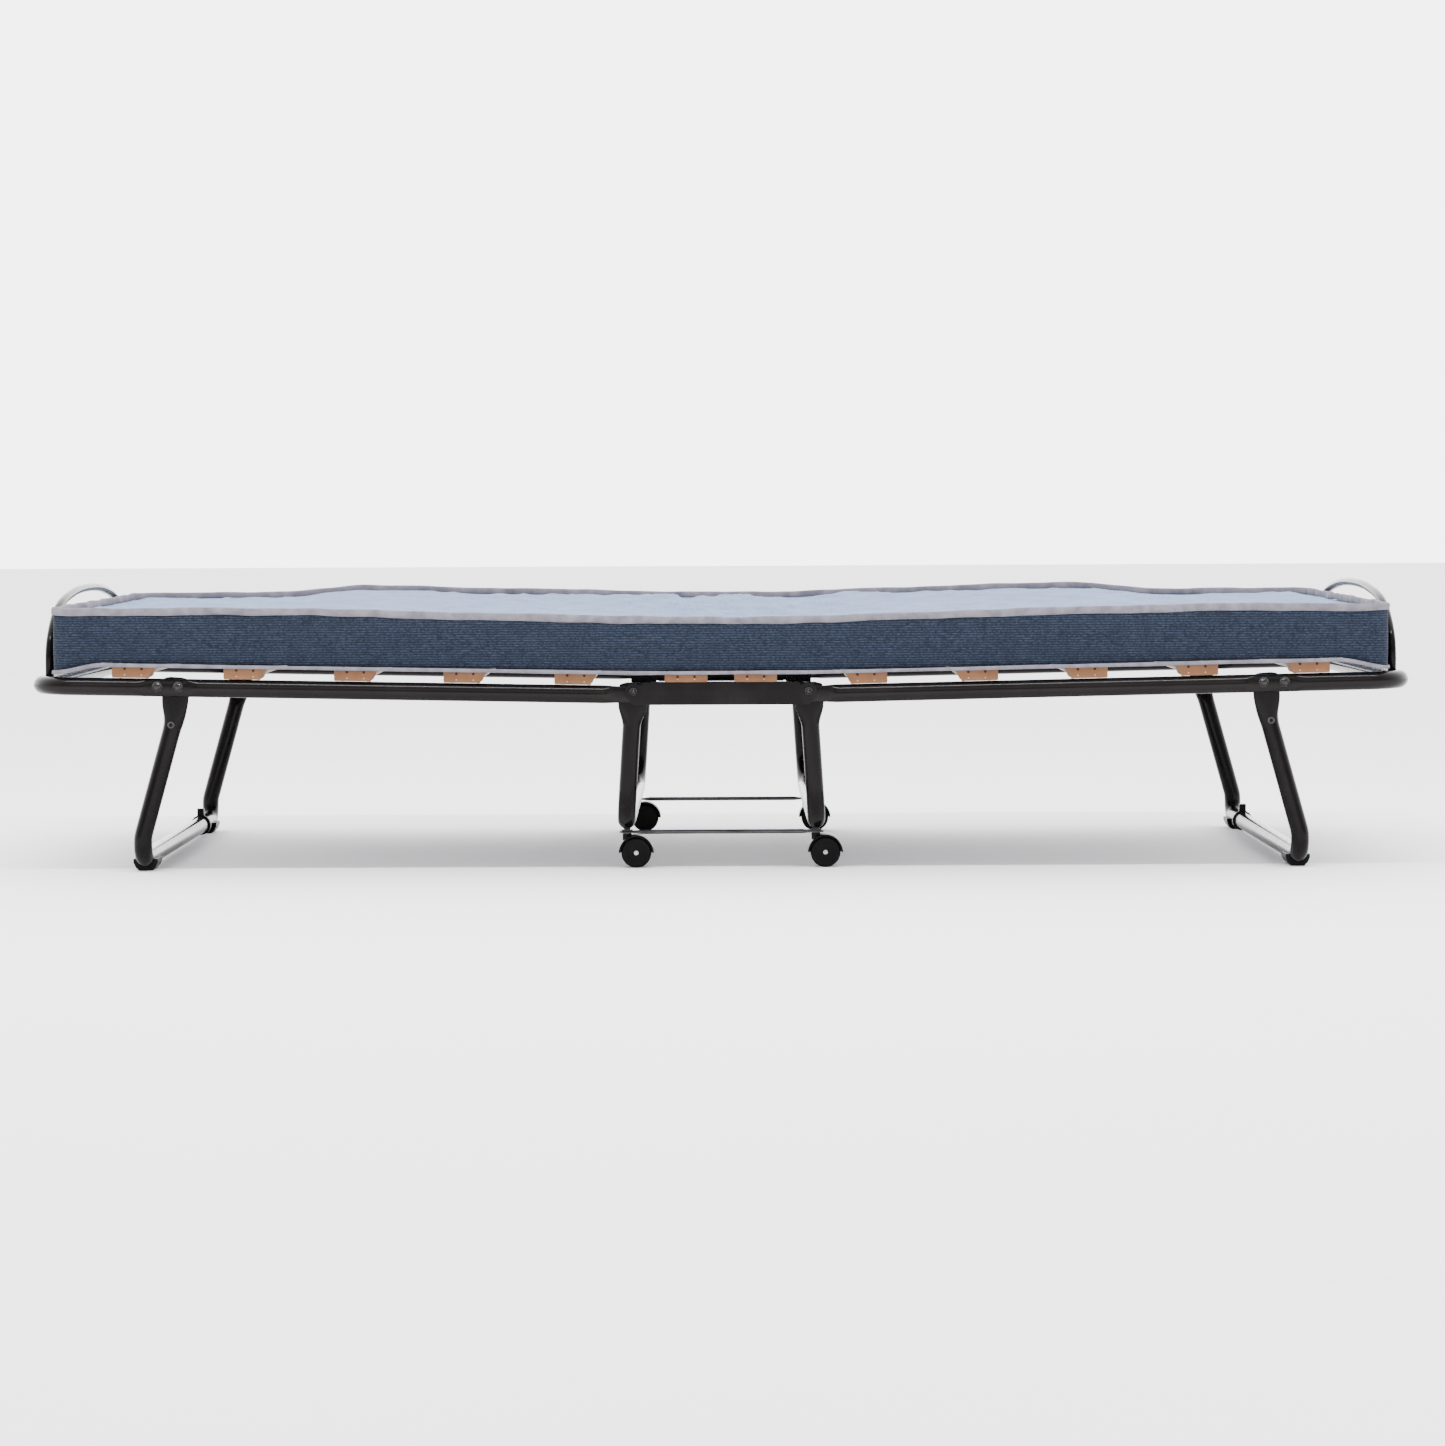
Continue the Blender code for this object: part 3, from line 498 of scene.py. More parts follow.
def boolean(mesh, tools, operation):
    """A mesh cut by tools, or joined to them."""
    base = bpy.data.objects.new("base", mesh)
    bpy.context.scene.collection.objects.link(base)
    helpers = []
    for tool in tools:
        helper = bpy.data.objects.new("tool", tool)
        bpy.context.scene.collection.objects.link(helper)
        helpers.append(helper)
        modifier = base.modifiers.new("tool", "BOOLEAN")
        modifier.operation = operation
        modifier.solver = "EXACT"
        modifier.object = helper
    bpy.context.view_layer.update()
    result = bpy.data.meshes.new_from_object(base.evaluated_get(bpy.context.evaluated_depsgraph_get()))
    for obj in [base] + helpers:
        bpy.data.objects.remove(obj, do_unlink=True)
    result.shade_smooth()
    result.set_sharp_from_angle(angle=math.radians(35))
    return result


def ease(share):
    """A share from 0 to 1 that starts and ends gently."""
    share = min(max(share, 0.0), 1.0)
    return share * share * (3 - 2 * share)


def outward(label):
    """The turn about Z that points X along the bed, away from its middle."""
    return Matrix.Rotation(0.0 if label == "right" else math.pi, 4, "Z")


def hinge_matrix(label):
    """Where a hinge, and the mid leg's own coordinates, sit."""
    return Matrix.Translation((SIDES[label] * PIVOT_X, 0, PIVOT_Z)) @ outward(label)


def half_frame_matrix(label):
    """Where a half frame's own coordinates sit: outward from its hinge, with the rail's rise."""
    return hinge_matrix(label) @ Matrix.Rotation(-RAIL_RISE, 4, "Y")


def end_leg_matrix(label):
    """Where an end leg's own coordinates sit."""
    pivot = half_frame_matrix(label) @ Vector((END_LEG_ALONG, 0, -LEG_PIVOT_DROP))
    return Matrix.Translation(pivot) @ outward(label)


# ---- tubes ----

def rail_mesh():
    """One U-shaped rail, flattened at its ends and pressed flat round the leg rivets."""
    press_from = END_LEG_ALONG - DIMPLE_MARGIN
    press_to = END_LEG_ALONG + STOP_OFFSET + DIMPLE_MARGIN
    places = [RAIL_TIP, RAIL_TIP + RAIL_TIP_EASE, RAIL_FLAT_TO, 0.027, 0.032, 0.037, RAIL_ROUND_FROM]
    places += [0.10, 0.30, 0.50]
    for step in range(7):
        places.append(press_from - DIMPLE_EASE * (1 - step / 6))
        places.append(press_to + DIMPLE_EASE * step / 6)
    stations = []
    for x in sorted(places):
        flat = 1 - ease((x - RAIL_FLAT_TO) / (RAIL_ROUND_FROM - RAIL_FLAT_TO))
        pressed = ease((x - press_from) / DIMPLE_EASE + 1) * (1 - ease((x - press_to) / DIMPLE_EASE))
        high = RAIL_R + (RAIL_END_HALF - RAIL_R) * flat
        if x == RAIL_TIP:
            high *= 0.55
        thin = RAIL_R + (FLAT_HALF - RAIL_R) * flat + (DIMPLE_HALF_T - RAIL_R) * pressed
        stations.append((x, (high, thin, 2.0 + 2.0 * flat + 0.8 * pressed, 0.0)))
    near = [Vector((x, -RAIL_Y, -RAIL_DROP)) for x, size in stations]
    sizes = [size for x, size in stations]
    straight_to = RAIL_END - RAIL_CORNER - 0.01
    corners = [(straight_to, -RAIL_Y, -RAIL_DROP), (RAIL_END, -RAIL_Y, -RAIL_DROP),
               (RAIL_END, RAIL_Y, -RAIL_DROP), (straight_to, RAIL_Y, -RAIL_DROP)]
    bend = rounded_path(corners, [RAIL_CORNER, RAIL_CORNER], 16)[1:-1]
    far = [Vector((point.x, RAIL_Y, -RAIL_DROP)) for point in reversed(near)]
    sizes = sizes + [(RAIL_R, RAIL_R, 2.0, 0.0)] * len(bend) + sizes[::-1]
    return loft_mesh(near + bend + far, sizes, (0, -1, 0))


def u_leg_mesh(side_points, corner_radii, bar, head, leg_y):
    """A U-shaped leg with two flattened heads, from its top points to its crossbar."""
    half_w, flat_to, round_from = head
    offset = LEG_R - FLAT_HALF
    corners = [(x, -leg_y, z) for x, z in side_points] + [(bar[0], -leg_y, bar[1])]
    corners += [(x, -y, z) for x, y, z in reversed(corners)]
    path = rounded_path(corners, corner_radii + corner_radii[::-1], 12)
    top = side_points[0][1]
    levels = [top - HEAD_SHOULDER * share for share in (0.25, 0.5, 0.75, 1.0)]
    levels += [flat_to + (round_from - flat_to) * step / 8 for step in range(9)]
    ordered = []
    for start, end in zip(path, path[1:]):
        ordered.append(start)
        if abs(start.y - end.y) < 0.000001:
            shares = [(level - start.z) / (end.z - start.z) for level in levels]
            ordered += [start.lerp(end, share) for share in sorted(shares) if 0.02 < share < 0.98]
    ordered.append(path[-1])
    sizes = []
    for point in ordered:
        share = ease((flat_to - point.z) / (flat_to - round_from))
        wide = half_w + (LEG_R - half_w) * share
        above = max(0.0, point.z - top + HEAD_SHOULDER) / HEAD_SHOULDER
        wide *= 0.45 + 0.55 * math.sqrt(max(0.0, 1 - above * above))
        thin = FLAT_HALF + (LEG_R - FLAT_HALF) * share
        sizes.append((wide, thin, 4.0 - 2.0 * share, offset * (1 - share)))
    return loft_mesh(ordered, sizes, (0, -1, 0))


def catmull(four, share):
    """A point on the smooth curve between the middle two of four points."""
    a, b, c, d = four
    return 0.5 * (2 * b + (c - a) * share + (2 * a - 5 * b + 4 * c - d) * share ** 2
                  + (3 * b - a - 3 * c + d) * share ** 3)


def bow_mesh():
    """A retaining bow, an arch over the end of the mattress that stands on the end bar."""
    half = [(-0.330, RAIL_TOP - BOW_FOOT_SINK), (-0.326, 0.055), (-0.262, 0.100), (-0.14, 0.119), (0, 0.124)]
    points = half + [(-y, z) for y, z in reversed(half[:-1])]
    smooth = []
    for index in range(len(points) - 1):
        four = [Vector(points[min(max(index + k, 0), len(points) - 1)]) for k in (-1, 0, 1, 2)]
        for step in range(10):
            smooth.append(catmull(four, step / 10))
    smooth.append(Vector(points[-1]))
    path = [Vector((RAIL_END - BOW_SETBACK, point.x, point.y)) for point in smooth]
    return loft_mesh(path, [(BOW_R, BOW_R, 2.0, 0.0)] * len(path), (1, 0, 0), 24)


def make_tubes():
    """Rails, legs and bows in place of the coarser CAD tubes."""
    rail = rail_mesh()
    mid_bar = (MID_LEG_SPLAY, MID_BAR_Z - PIVOT_Z)
    mid_head = (MID_LEG_HEAD_HALF, MID_LEG_FLAT_TO, MID_LEG_ROUND_FROM)
    mid = u_leg_mesh([(MID_LEG_HEAD_X, HEAD_TOP_Z)], [MID_LEG_BEND_R], mid_bar, mid_head, MID_LEG_Y)
    end_bar = (END_LEG_FOOT_X - END_LEG_X, END_BAR_Z - END_LEG_Z)
    end_side = [(END_LEG_HEAD_X, HEAD_TOP_Z), END_LEG_KNEE, (end_bar[0], end_bar[1] + END_BEND_ABOVE_BAR)]
    end_head = (END_LEG_HEAD_HALF, END_LEG_FLAT_TO, END_LEG_ROUND_FROM)
    end = u_leg_mesh(end_side, END_LEG_BEND_RADII, end_bar, end_head, END_LEG_Y)
    bow = bow_mesh()
    for label in SIDES:
        place_piece(add_piece(f"rail_tube_{label}", rail, [TUBE_PAINT], half_frame_matrix(label)),
                    f"{label}_frame", "rail_tube", f"rail_{label}")
        place_piece(add_piece(f"mid_leg_tube_{label}", mid, [LEG_PAINT], hinge_matrix(label)),
                    "centre", "leg_tube", f"mid_leg_{label}")
        place_piece(add_piece(f"end_leg_tube_{label}", end, [LEG_PAINT], end_leg_matrix(label)),
                    f"{label}_leg", "leg_tube", f"end_leg_{label}")
        place_piece(add_piece(f"bow_tube_{label}", bow, [LEG_PAINT], half_frame_matrix(label)),
                    f"{label}_frame", "bow_tube", f"bow_{label}")


# ---- slats and holders ----

def box_mesh(low, high, bevel):
    """A box between two corners with rounded edges."""
    bm = bmesh.new()
    size = Vector(high) - Vector(low)
    centre = (Vector(high) + Vector(low)) / 2
    bmesh.ops.create_cube(bm, size=1.0, matrix=Matrix.Translation(centre) @ Matrix.Diagonal((*size, 1.0)))
    bmesh.ops.bevel(bm, geom=bm.edges[:], offset=bevel, segments=3, affect="EDGES", profile=0.5)
    return finish_mesh(bm, "box", 50.0)


def holder_mesh(low, high, slanted):
    """A slat holder at the front rail: moulded body, two dark discs of painted shade for blind holes,
    two light dots of painted light for the surround seen through gaps and, over a rail, two pegs."""
    half = HOLDER_L / 2
    outboard = arc_points((half - 0.002, low + 0.002), 0.002, -90, 0, 4)
    outboard += arc_points((half - 0.002, high - 0.002), 0.002, 0, 90, 4)
    if slanted:
        inboard = [(-half, high), (-half + 0.001, high - 0.004)]
        inboard += arc_points((-half + 0.012, low + 0.006), 0.006, 190, 270, 5)
    else:
        inboard = arc_points((-half + 0.002, high - 0.002), 0.002, 90, 180, 4)
        inboard += arc_points((-half + 0.002, low + 0.002), 0.002, 180, 270, 4)
    depth = (HOLDER_OUT_Y - HOLDER_IN_Y) / 2
    middle = -(HOLDER_OUT_Y + HOLDER_IN_Y) / 2
    body = slab_mesh(outboard + inboard, depth, 0.0008)
    bm = bmesh.new()
    bm.from_mesh(body)
    bmesh.ops.translate(bm, verts=bm.verts, vec=(0, middle, 0))
    face_y = middle - depth
    details = []
    for end in (-1, 1):
        x = end * PEG_SPACING / 2
        if slanted:
            peg_low = RAIL_TOP + GAP
            peg_high = low + 0.004
            details.append(((x, -RAIL_Y, (peg_low + peg_high) / 2), PEG_R, peg_high - peg_low, "Z", 0))
        # painted shade: a dark disc on the face stands for the shade inside a blind hole
        details.append(((x * 0.65, face_y, high - 0.0056), 0.0020, 0.0010, "Y", 1))
        # painted light: a light dot stands for the bright surround seen through a gap at the holder's foot
        details.append(((x * 0.65, face_y, low + 0.0040), 0.0009, 0.0012, "Y", 2))
    for centre, radius, depth_along, axis, index in details:
        turn = Matrix.Rotation(math.radians(90), 4, "X") if axis == "Y" else Matrix()
        before = set(bm.faces)
        bmesh.ops.create_cone(bm, cap_ends=True, segments=16, radius1=radius, radius2=radius * 0.85,
                              depth=depth_along, matrix=Matrix.Translation(centre) @ turn)
        for face in set(bm.faces) - before:
            face.material_index = index
    return finish_mesh(bm, "holder", 30.0)


def make_slats():
    """Twelve beech slats, each in two plastic holders."""
    board = box_mesh((-SLAT_W / 2, -SLAT_HALF_L, -SLAT_T), (SLAT_W / 2, SLAT_HALF_L, 0), 0.002)
    centre_low = PLATE_ABOVE + GAP
    spans = {True: (HOLDER_LOW, HOLDER_HIGH), False: (centre_low, centre_low + CENTRE_HOLDER_H)}
    rows = []
    for label, numbers in (("left", range(5, 0, -1)), ("right", range(8, 13))):
        for number, world_x in zip(numbers, FRAME_SLATS_X):
            along = Matrix.Translation(((world_x - PIVOT_X) / math.cos(RAIL_RISE), 0, 0))
            rows.append((number, f"{label}_frame", half_frame_matrix(label) @ along, True))
    for number, x in ((6, -CENTRE_SLAT_X), (7, CENTRE_SLAT_X)):
        rows.append((number, "centre", Matrix.Translation((x, 0, PIVOT_Z)), False))
    shapes = {over_rail: holder_mesh(*spans[over_rail], over_rail) for over_rail in spans}
    mirror = Matrix.Diagonal((1, -1, 1, 1))
    for number, body, place, over_rail in rows:
        board_place = place @ Matrix.Translation((0, 0, spans[over_rail][1] - HOLDER_LIP))
        slat = add_piece(f"slat_board_{number:02d}", board, [WOOD], board_place)
        place_piece(slat, body, "slat_wood", f"slat_{number:02d}")
        for label, flip in (("a", Matrix()), ("b", mirror)):
            # holder body, painted hole shade, painted gap light
            mats = [HOLDER_PLASTIC, HOLDER_HOLE_SHADE, HOLDER_GAP_LIGHT]
            holder = add_piece(f"slat_holder_{number:02d}_{label}", shapes[over_rail], mats, place @ flip)
            if label == "b":
                holder.data.flip_normals()
            place_piece(holder, body, "slat_holder")


# ---- casters ----

def hood_mesh():
    """A caster hood: rim, middle web and the boss for its stem, in the axle's own coordinates."""
    outline = arc_points((0, 0), HOOD_R, 0, 180, 48) + arc_points((0, 0), 0.0075, 180, 360, 16)
    shell = slab_mesh(outline, HOOD_HALF_W, 0.0007)
    top = 0.0475 - WHEEL_R
    low = 0.017
    boss = turned_mesh([(0, top), (0.0058, top), (0.0065, top - 0.0008), (0.0065, low), (0, low)])
    boss.transform(Matrix.Translation((-CASTER_TRAIL, 0, 0)))
    joined = boolean(shell, [boss], "UNION")
    wide = WHEEL_R + 0.0012
    room = []
    for side in (-1, 1):
        tool = turned_mesh([(0, 0.03), (wide, 0.03), (wide, 0.0022), (0, 0.0022)], 64)
        tool.transform(Matrix.Rotation(math.radians(90 * side), 4, "X"))
        room.append(tool)
    return boolean(joined, room, "DIFFERENCE")


def make_casters():
    """Hood, zinc stem, wheels and axle caps of the four casters."""
    hood = hood_mesh()
    half = [(0.0, WHEEL_OUT_Y - 0.0012), (0.0040, WHEEL_OUT_Y - 0.0012), (0.0150, WHEEL_OUT_Y - 0.0010),
            (0.0165, WHEEL_OUT_Y - 0.0002), (0.0185, WHEEL_OUT_Y), (0.0200, WHEEL_OUT_Y - 0.0007),
            (WHEEL_R, WHEEL_OUT_Y - 0.0022), (WHEEL_R, WHEEL_IN_Y + 0.0012), (WHEEL_R - 0.0010, WHEEL_IN_Y),
            (0.0028, WHEEL_IN_Y)]
    wheels = turned_mesh(half + [(radius, -height) for radius, height in reversed(half)], 64)
    wheels.transform(Matrix.Rotation(math.radians(90), 4, "X"))
    cap = turned_mesh([(0, 0.0012), (0.0020, 0.0010), (0.0031, 0.0003), (0.0033, -0.0006),
                       (0, -0.0006)], 32)
    stem = turned_mesh([(0, 0.0720), (0.0040, 0.0720), (0.0045, 0.0714), (0.0045, 0.0530), (0.0075, 0.0527),
                        (0.0080, 0.0522), (0.0080, 0.0512), (0.0045, 0.0509), (0.0045, 0.0484),
                        (0.0062, 0.0482), (0.0062, 0.0472), (0, 0.0472)], 40)
    for label, sign in SIDES.items():
        for end, side in ENDS.items():
            body = f"caster_{label}_{end}"
            swivel = Matrix.Translation((sign * STEM_X, side * CASTER_Y, 0))
            axle = swivel @ Matrix.Translation((CASTER_TRAIL, 0, WHEEL_R))
            place_piece(add_piece(f"hood_{label}_{end}", hood, [BLACK_PLASTIC], axle),
                        body, "caster_hood", f"caster_hood_{label}_{end}")
            place_piece(add_piece(f"stem_{label}_{end}", stem, [ZINC], swivel), body, "tie_rod")
            place_piece(add_piece(f"wheels_{label}_{end}", wheels, [WHEEL_PLASTIC], axle),
                        f"wheels_{label}_{end}", "caster_wheel", f"caster_wheels_{label}_{end}")
            turn = Matrix.Translation((0, side * (WHEEL_OUT_Y - 0.0006), 0))
            turn = turn @ Matrix.Rotation(math.radians(-90 * side), 4, "X")
            place_piece(add_piece(f"axle_cap_{label}_{end}", cap, [CAP_METAL], axle @ turn),
                        f"wheels_{label}_{end}", "tie_rod")


# ---- mattress ----

HALF_L = 0.925
HALF_W = 0.3945
CORNER_R = 0.030
STATIONS = 370
TOP_COUNT = 110
SIDE_COUNT = 14
BOTTOM_COUNT = 44
END_DROOP = 0.012
DROOP_FROM_X = 0.850
TOP_MIDDLE_Z = 0.344
TOP_RISE = 0.015
REAR_LIFT = 0.0185


def rest_line(x):
    """Height of the tops of the slat holders along the bed."""
    return PIVOT_Z + max(0.0, abs(x) - PIVOT_X) * math.tan(RAIL_RISE) + HOLDER_HIGH


def ripple(x, y, scale, seed):
    """A smooth value from -1 to 1 that wanders over the mattress."""
    return noise.noise(Vector((x / scale, y / scale, seed)))


def bottom_seam(x, y):
    """Height of the lower seam: on the slats, slack between them, drooping at the ends."""
    slack = 0.0012 * ripple(x, y, 0.20, 3.0)
    droop = END_DROOP * ease((abs(x) - DROOP_FROM_X) / (HALF_L - DROOP_FROM_X))
    return rest_line(x) + 0.0022 + max(slack, -0.0004) - droop


def top_seam(x, y):
    """Height of the upper seam: wavy, low at the middle of the bed, higher at the rear side."""
    side = (y + HALF_W) / (2 * HALF_W)
    lift = REAR_LIFT * (1 - 0.7 * ease((abs(x) - 0.55) / 0.15))
    wave = 0.0019 * ripple(x, y * 0.4, 0.16, 7.0) + 0.0012 * ripple(x, y, 0.045, 11.0)
    return TOP_MIDDLE_Z + TOP_RISE * ease(abs(x) / 0.70) + lift * side + wave


def end_shape(x):
    """Half width of the mattress at a place along it, rounded in plan at its corners."""
    past = max(0.0, abs(x) - (HALF_L - CORNER_R))
    return HALF_W - CORNER_R + math.sqrt(max(0.0, CORNER_R ** 2 - past ** 2))


def wrinkles(x, y):
    """Folds of the slack top panel, strongest over the hinge section."""
    near_middle = math.exp(-(x / 0.20) ** 2)
    bend = 0.05 * ripple(x, y, 0.11, 21.0)
    ridge = 1 - abs(ripple(x + y * 0.55 + bend, y * 0.28 - x * 0.12, 0.055, 31.0)) * 2.2
    soft = ripple(x + 0.4 * y, y * 0.5, 0.10, 41.0)
    fine = ripple(x * 1.3 - y * 0.4, y, 0.028, 51.0)
    amount = 0.0022 + 0.0060 * near_middle
    return amount * (max(0.0, ridge) ** 2 - 0.25) + (0.0030 + 0.0030 * near_middle) * soft + 0.0007 * fine


def ring_points(x):
    """One cross-section of the mattress: positions with the panel that each belongs to."""
    half = end_shape(x)
    points = []
    for step in range(BOTTOM_COUNT):
        y = half - 2 * half * step / BOTTOM_COUNT
        edge = min(1.0, (half - abs(y)) / 0.03)
        points.append((Vector((x, y, bottom_seam(x, y) - 0.0010 * ease(edge))), 1))
    for side in (-1, 1):
        low = bottom_seam(x, side * half)
        high = top_seam(x, side * half)
        column = []
        for step in range(SIDE_COUNT + 1):
            share = step / SIDE_COUNT
            bulge = 0.0045 * math.sin(math.pi * share) ** 0.7
            slack = 0.0022 * ripple(x, share * 0.1 + side, 0.10, 61.0)
            slack += 0.0010 * ripple(x, share * 0.06, 0.035, 71.0)
            y = side * (half + bulge + slack * math.sin(math.pi * share))
            column.append(Vector((x, y, low + (high - low) * share)))
        if side < 0:
            points += [(point, 0) for point in column[:-1]]
            for step in range(TOP_COUNT):
                y = -half + 2 * half * step / TOP_COUNT
                inside = min(half - abs(y), HALF_L - abs(x) + 0.004)
                level = ease(inside / 0.035)
                crown = 0.0015 * level - 0.0040 * ease(inside / 0.010) * (1 - level)
                z = top_seam(x, y) + crown + wrinkles(x, y) * level
                points.append((Vector((x, y, z)), 1))
        else:
            points += [(point, 0) for point in reversed(column[1:])]
    return points


def mattress_mesh():
    """The whole closed mattress, with its panels as material numbers."""
    bm = bmesh.new()
    rings = []
    for station in range(STATIONS + 1):
        even = 2 * station / STATIONS - 1
        closer_at_ends = -math.cos(math.pi * station / STATIONS)
        x = HALF_L * (0.75 * even + 0.25 * closer_at_ends)
        ring = ring_points(x)
        if not rings:
            panels = [panel for point, panel in ring]
        rings.append([bm.verts.new(point) for point, panel in ring])
    count = len(panels)
    for low, high in zip(rings, rings[1:]):
        for index in range(count):
            following = (index + 1) % count
            face = bm.faces.new((low[index], low[following], high[following], high[index]))
            face.material_index = panels[index]
    for ring, outward in ((rings[0], -1), (rings[-1], 1)):
        inner = ring
        middle = sum((vert.co for vert in ring), Vector()) / count
        for step in range(1, 7):
            share = step / 7
            out = outward * 0.004 * math.sin(math.pi * share / 2)
            fresh = []
            for vert in ring:
                spot = vert.co.lerp(middle, share)
                spot.z = vert.co.z + (middle.z - vert.co.z) * share
                fresh.append(bm.verts.new(spot + Vector((out, 0, 0))))
            for index in range(count):
                following = (index + 1) % count
                bm.faces.new((inner[index], inner[following], fresh[following], fresh[index]))
            inner = fresh
        bm.faces.new(inner)
    return finish_mesh(bm, "mattress", 60.0)


def keep_rest(obj):
    """Store each point's rest position, which the weave is drawn from at every pose."""
    attribute = obj.data.attributes.new("rest", "FLOAT_VECTOR", "POINT")
    values = [value for vert in obj.data.vertices for value in vert.co]
    attribute.data.foreach_set("vector", values)


def blend_half(obj):
    """Store a mattress piece's rest positions and bake its place into its points."""
    keep_rest(obj)
    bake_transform(obj)


def outline_points(label, seam, inset):
    """The seam's route round one half, a little outside the mattress, from the middle of the front
    to the middle of the rear."""
    sign = SIDES[label]
    wide = HALF_W + inset
    plan = [(sign * x, -wide) for x in frange(0.0, HALF_L - CORNER_R, 0.006)]
    corner = (HALF_L - CORNER_R, -(wide - CORNER_R))
    plan += [(sign * x, y) for x, y in arc_points(corner, CORNER_R, -90, 0, 9)[1:]]
    plan += [(sign * HALF_L, y) for y in frange(-(wide - CORNER_R), wide - CORNER_R, 0.006)[1:]]
    corner = (HALF_L - CORNER_R, wide - CORNER_R)
    plan += [(sign * x, y) for x, y in arc_points(corner, CORNER_R, 0, 90, 9)[1:]]
    plan += [(sign * x, wide) for x in reversed(frange(0.0, HALF_L - CORNER_R, 0.006)[:-1])]
    return [Vector((x, y, seam(x, y))) for x, y in plan]


def frange(start, end, step):
    """Evenly spaced numbers with both ends included."""
    count = max(1, round((end - start) / step))
    return [start + (end - start) * index / count for index in range(count + 1)]


def piping_mesh(label, seam, half_h, half_t, outside, lift, wobble):
    """A bias binding swept round one half of the mattress, standing on its seam."""
    route = outline_points(label, seam, outside)
    bm = bmesh.new()
    rings = []
    sides = 16
    for index, centre in enumerate(route):
        ahead = route[min(index + 1, len(route) - 1)] - route[max(index - 1, 0)]
        ahead.z = 0
        if index in (0, len(route) - 1):
            ahead = Vector((ahead.x, 0, 0))
        ahead.normalize()
        out = Vector((ahead.y, -ahead.x, 0)) * SIDES[label] * -1
        if out.y * centre.y < 0 and abs(ahead.x) > 0.5:
            out = -out
        if out.x * centre.x < 0 and abs(ahead.y) > 0.5:
            out = -out
        lean = wobble * ripple(centre.x, centre.y, 0.05, 81.0)
        swell = 1 + 0.18 * ripple(centre.x, centre.y, 0.07, 91.0)
        base = centre + Vector((0, 0, lift))
        ring = []
        for corner in range(sides):
            angle = 2 * math.pi * corner / sides
            up = half_h * swell * math.copysign(abs(math.sin(angle)) ** 0.8, math.sin(angle))
            across = half_t * math.copysign(abs(math.cos(angle)) ** 0.8, math.cos(angle))
            ring.append(bm.verts.new(base + out * (across + lean * up / half_h) + Vector((0, 0, up))))
        rings.append(ring)
    for low, high in zip(rings, rings[1:]):
        for corner in range(sides):
            following = (corner + 1) % sides
            bm.faces.new((low[corner], low[following], high[following], high[corner]))
    bm.faces.new(rings[0])
    bm.faces.new(rings[-1])
    return finish_mesh(bm, "piping", 60.0)


def make_mattress():
    """Two halves that meet at the middle of the bed, each with its two bindings."""
    whole = mattress_mesh()
    for label, sign in SIDES.items():
        bm = bmesh.new()
        bm.from_mesh(whole)
        cut = bmesh.ops.bisect_plane(bm, geom=bm.verts[:] + bm.edges[:] + bm.faces[:], dist=0.00001,
                                     plane_co=(0, 0, 0), plane_no=(-sign, 0, 0), clear_outer=True)
        rim = [item for item in cut["geom_cut"] if isinstance(item, bmesh.types.BMEdge)]
        bmesh.ops.contextual_create(bm, geom=rim)
        half = add_piece(f"mattress_pad_{label}", finish_mesh(bm, f"pad_{label}", 60.0), [BORDER, TOP_PAINTED_LIT])
        blend_half(half)
        nodes = [f"mattress_{label}"]
        if label == "left":
            nodes.append("mattress_centre")
        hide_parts(*nodes)
        upper = piping_mesh(label, top_seam, 0.0054, 0.0026, 0.0, 0.0040, 0.0022)
        piece = add_piece(f"top_binding_{label}", upper, [PIPING])
        blend_half(piece)
        lower = piping_mesh(label, bottom_seam, 0.0027, 0.0020, 0.0045, -0.0030, 0.0008)
        piece = add_piece(f"bottom_binding_{label}", lower, [PIPING])
        blend_half(piece)


# ---- small steel parts ----

def finish_cad_nodes():
    """Give the CAD nodes that stay their own materials."""
    finishes = {"side_plate": PLATE_PAINT, "tie_rod": ZINC, "foot": BLACK_PLASTIC,
                "bar_clip": BLACK_PLASTIC}
    for name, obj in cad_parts.items():
        for start, material in finishes.items():
            if name.startswith(start):
                obj.data.materials.clear()
                obj.data.materials.append(material)


LEG_RIVET_WIDER = 1.3


def rivet_mesh(length, wider):
    """A rivet along Z: a dished collar and a small dome at its outer end, its tail at z = 0."""
    head = [(0, 0.0030), (0.0014, 0.0029), (0.0026, 0.0021), (0.0031, 0.0012), (0.0037, 0.0008),
            (0.0046, 0.0013), (0.0054, 0.0012), (0.0058, 0.0005), (0.0059, 0.0003)]
    head = [(radius * wider, height) for radius, height in head] + [(SHANK_R, 0.0003)]
    tail = [(SHANK_R, -GAP), (0.0054, -GAP), (0.0056, -0.0008), (0.0042, -0.0019), (0, -0.0021)]
    return turned_mesh([(radius, length + height) for radius, height in head] + tail, 40)


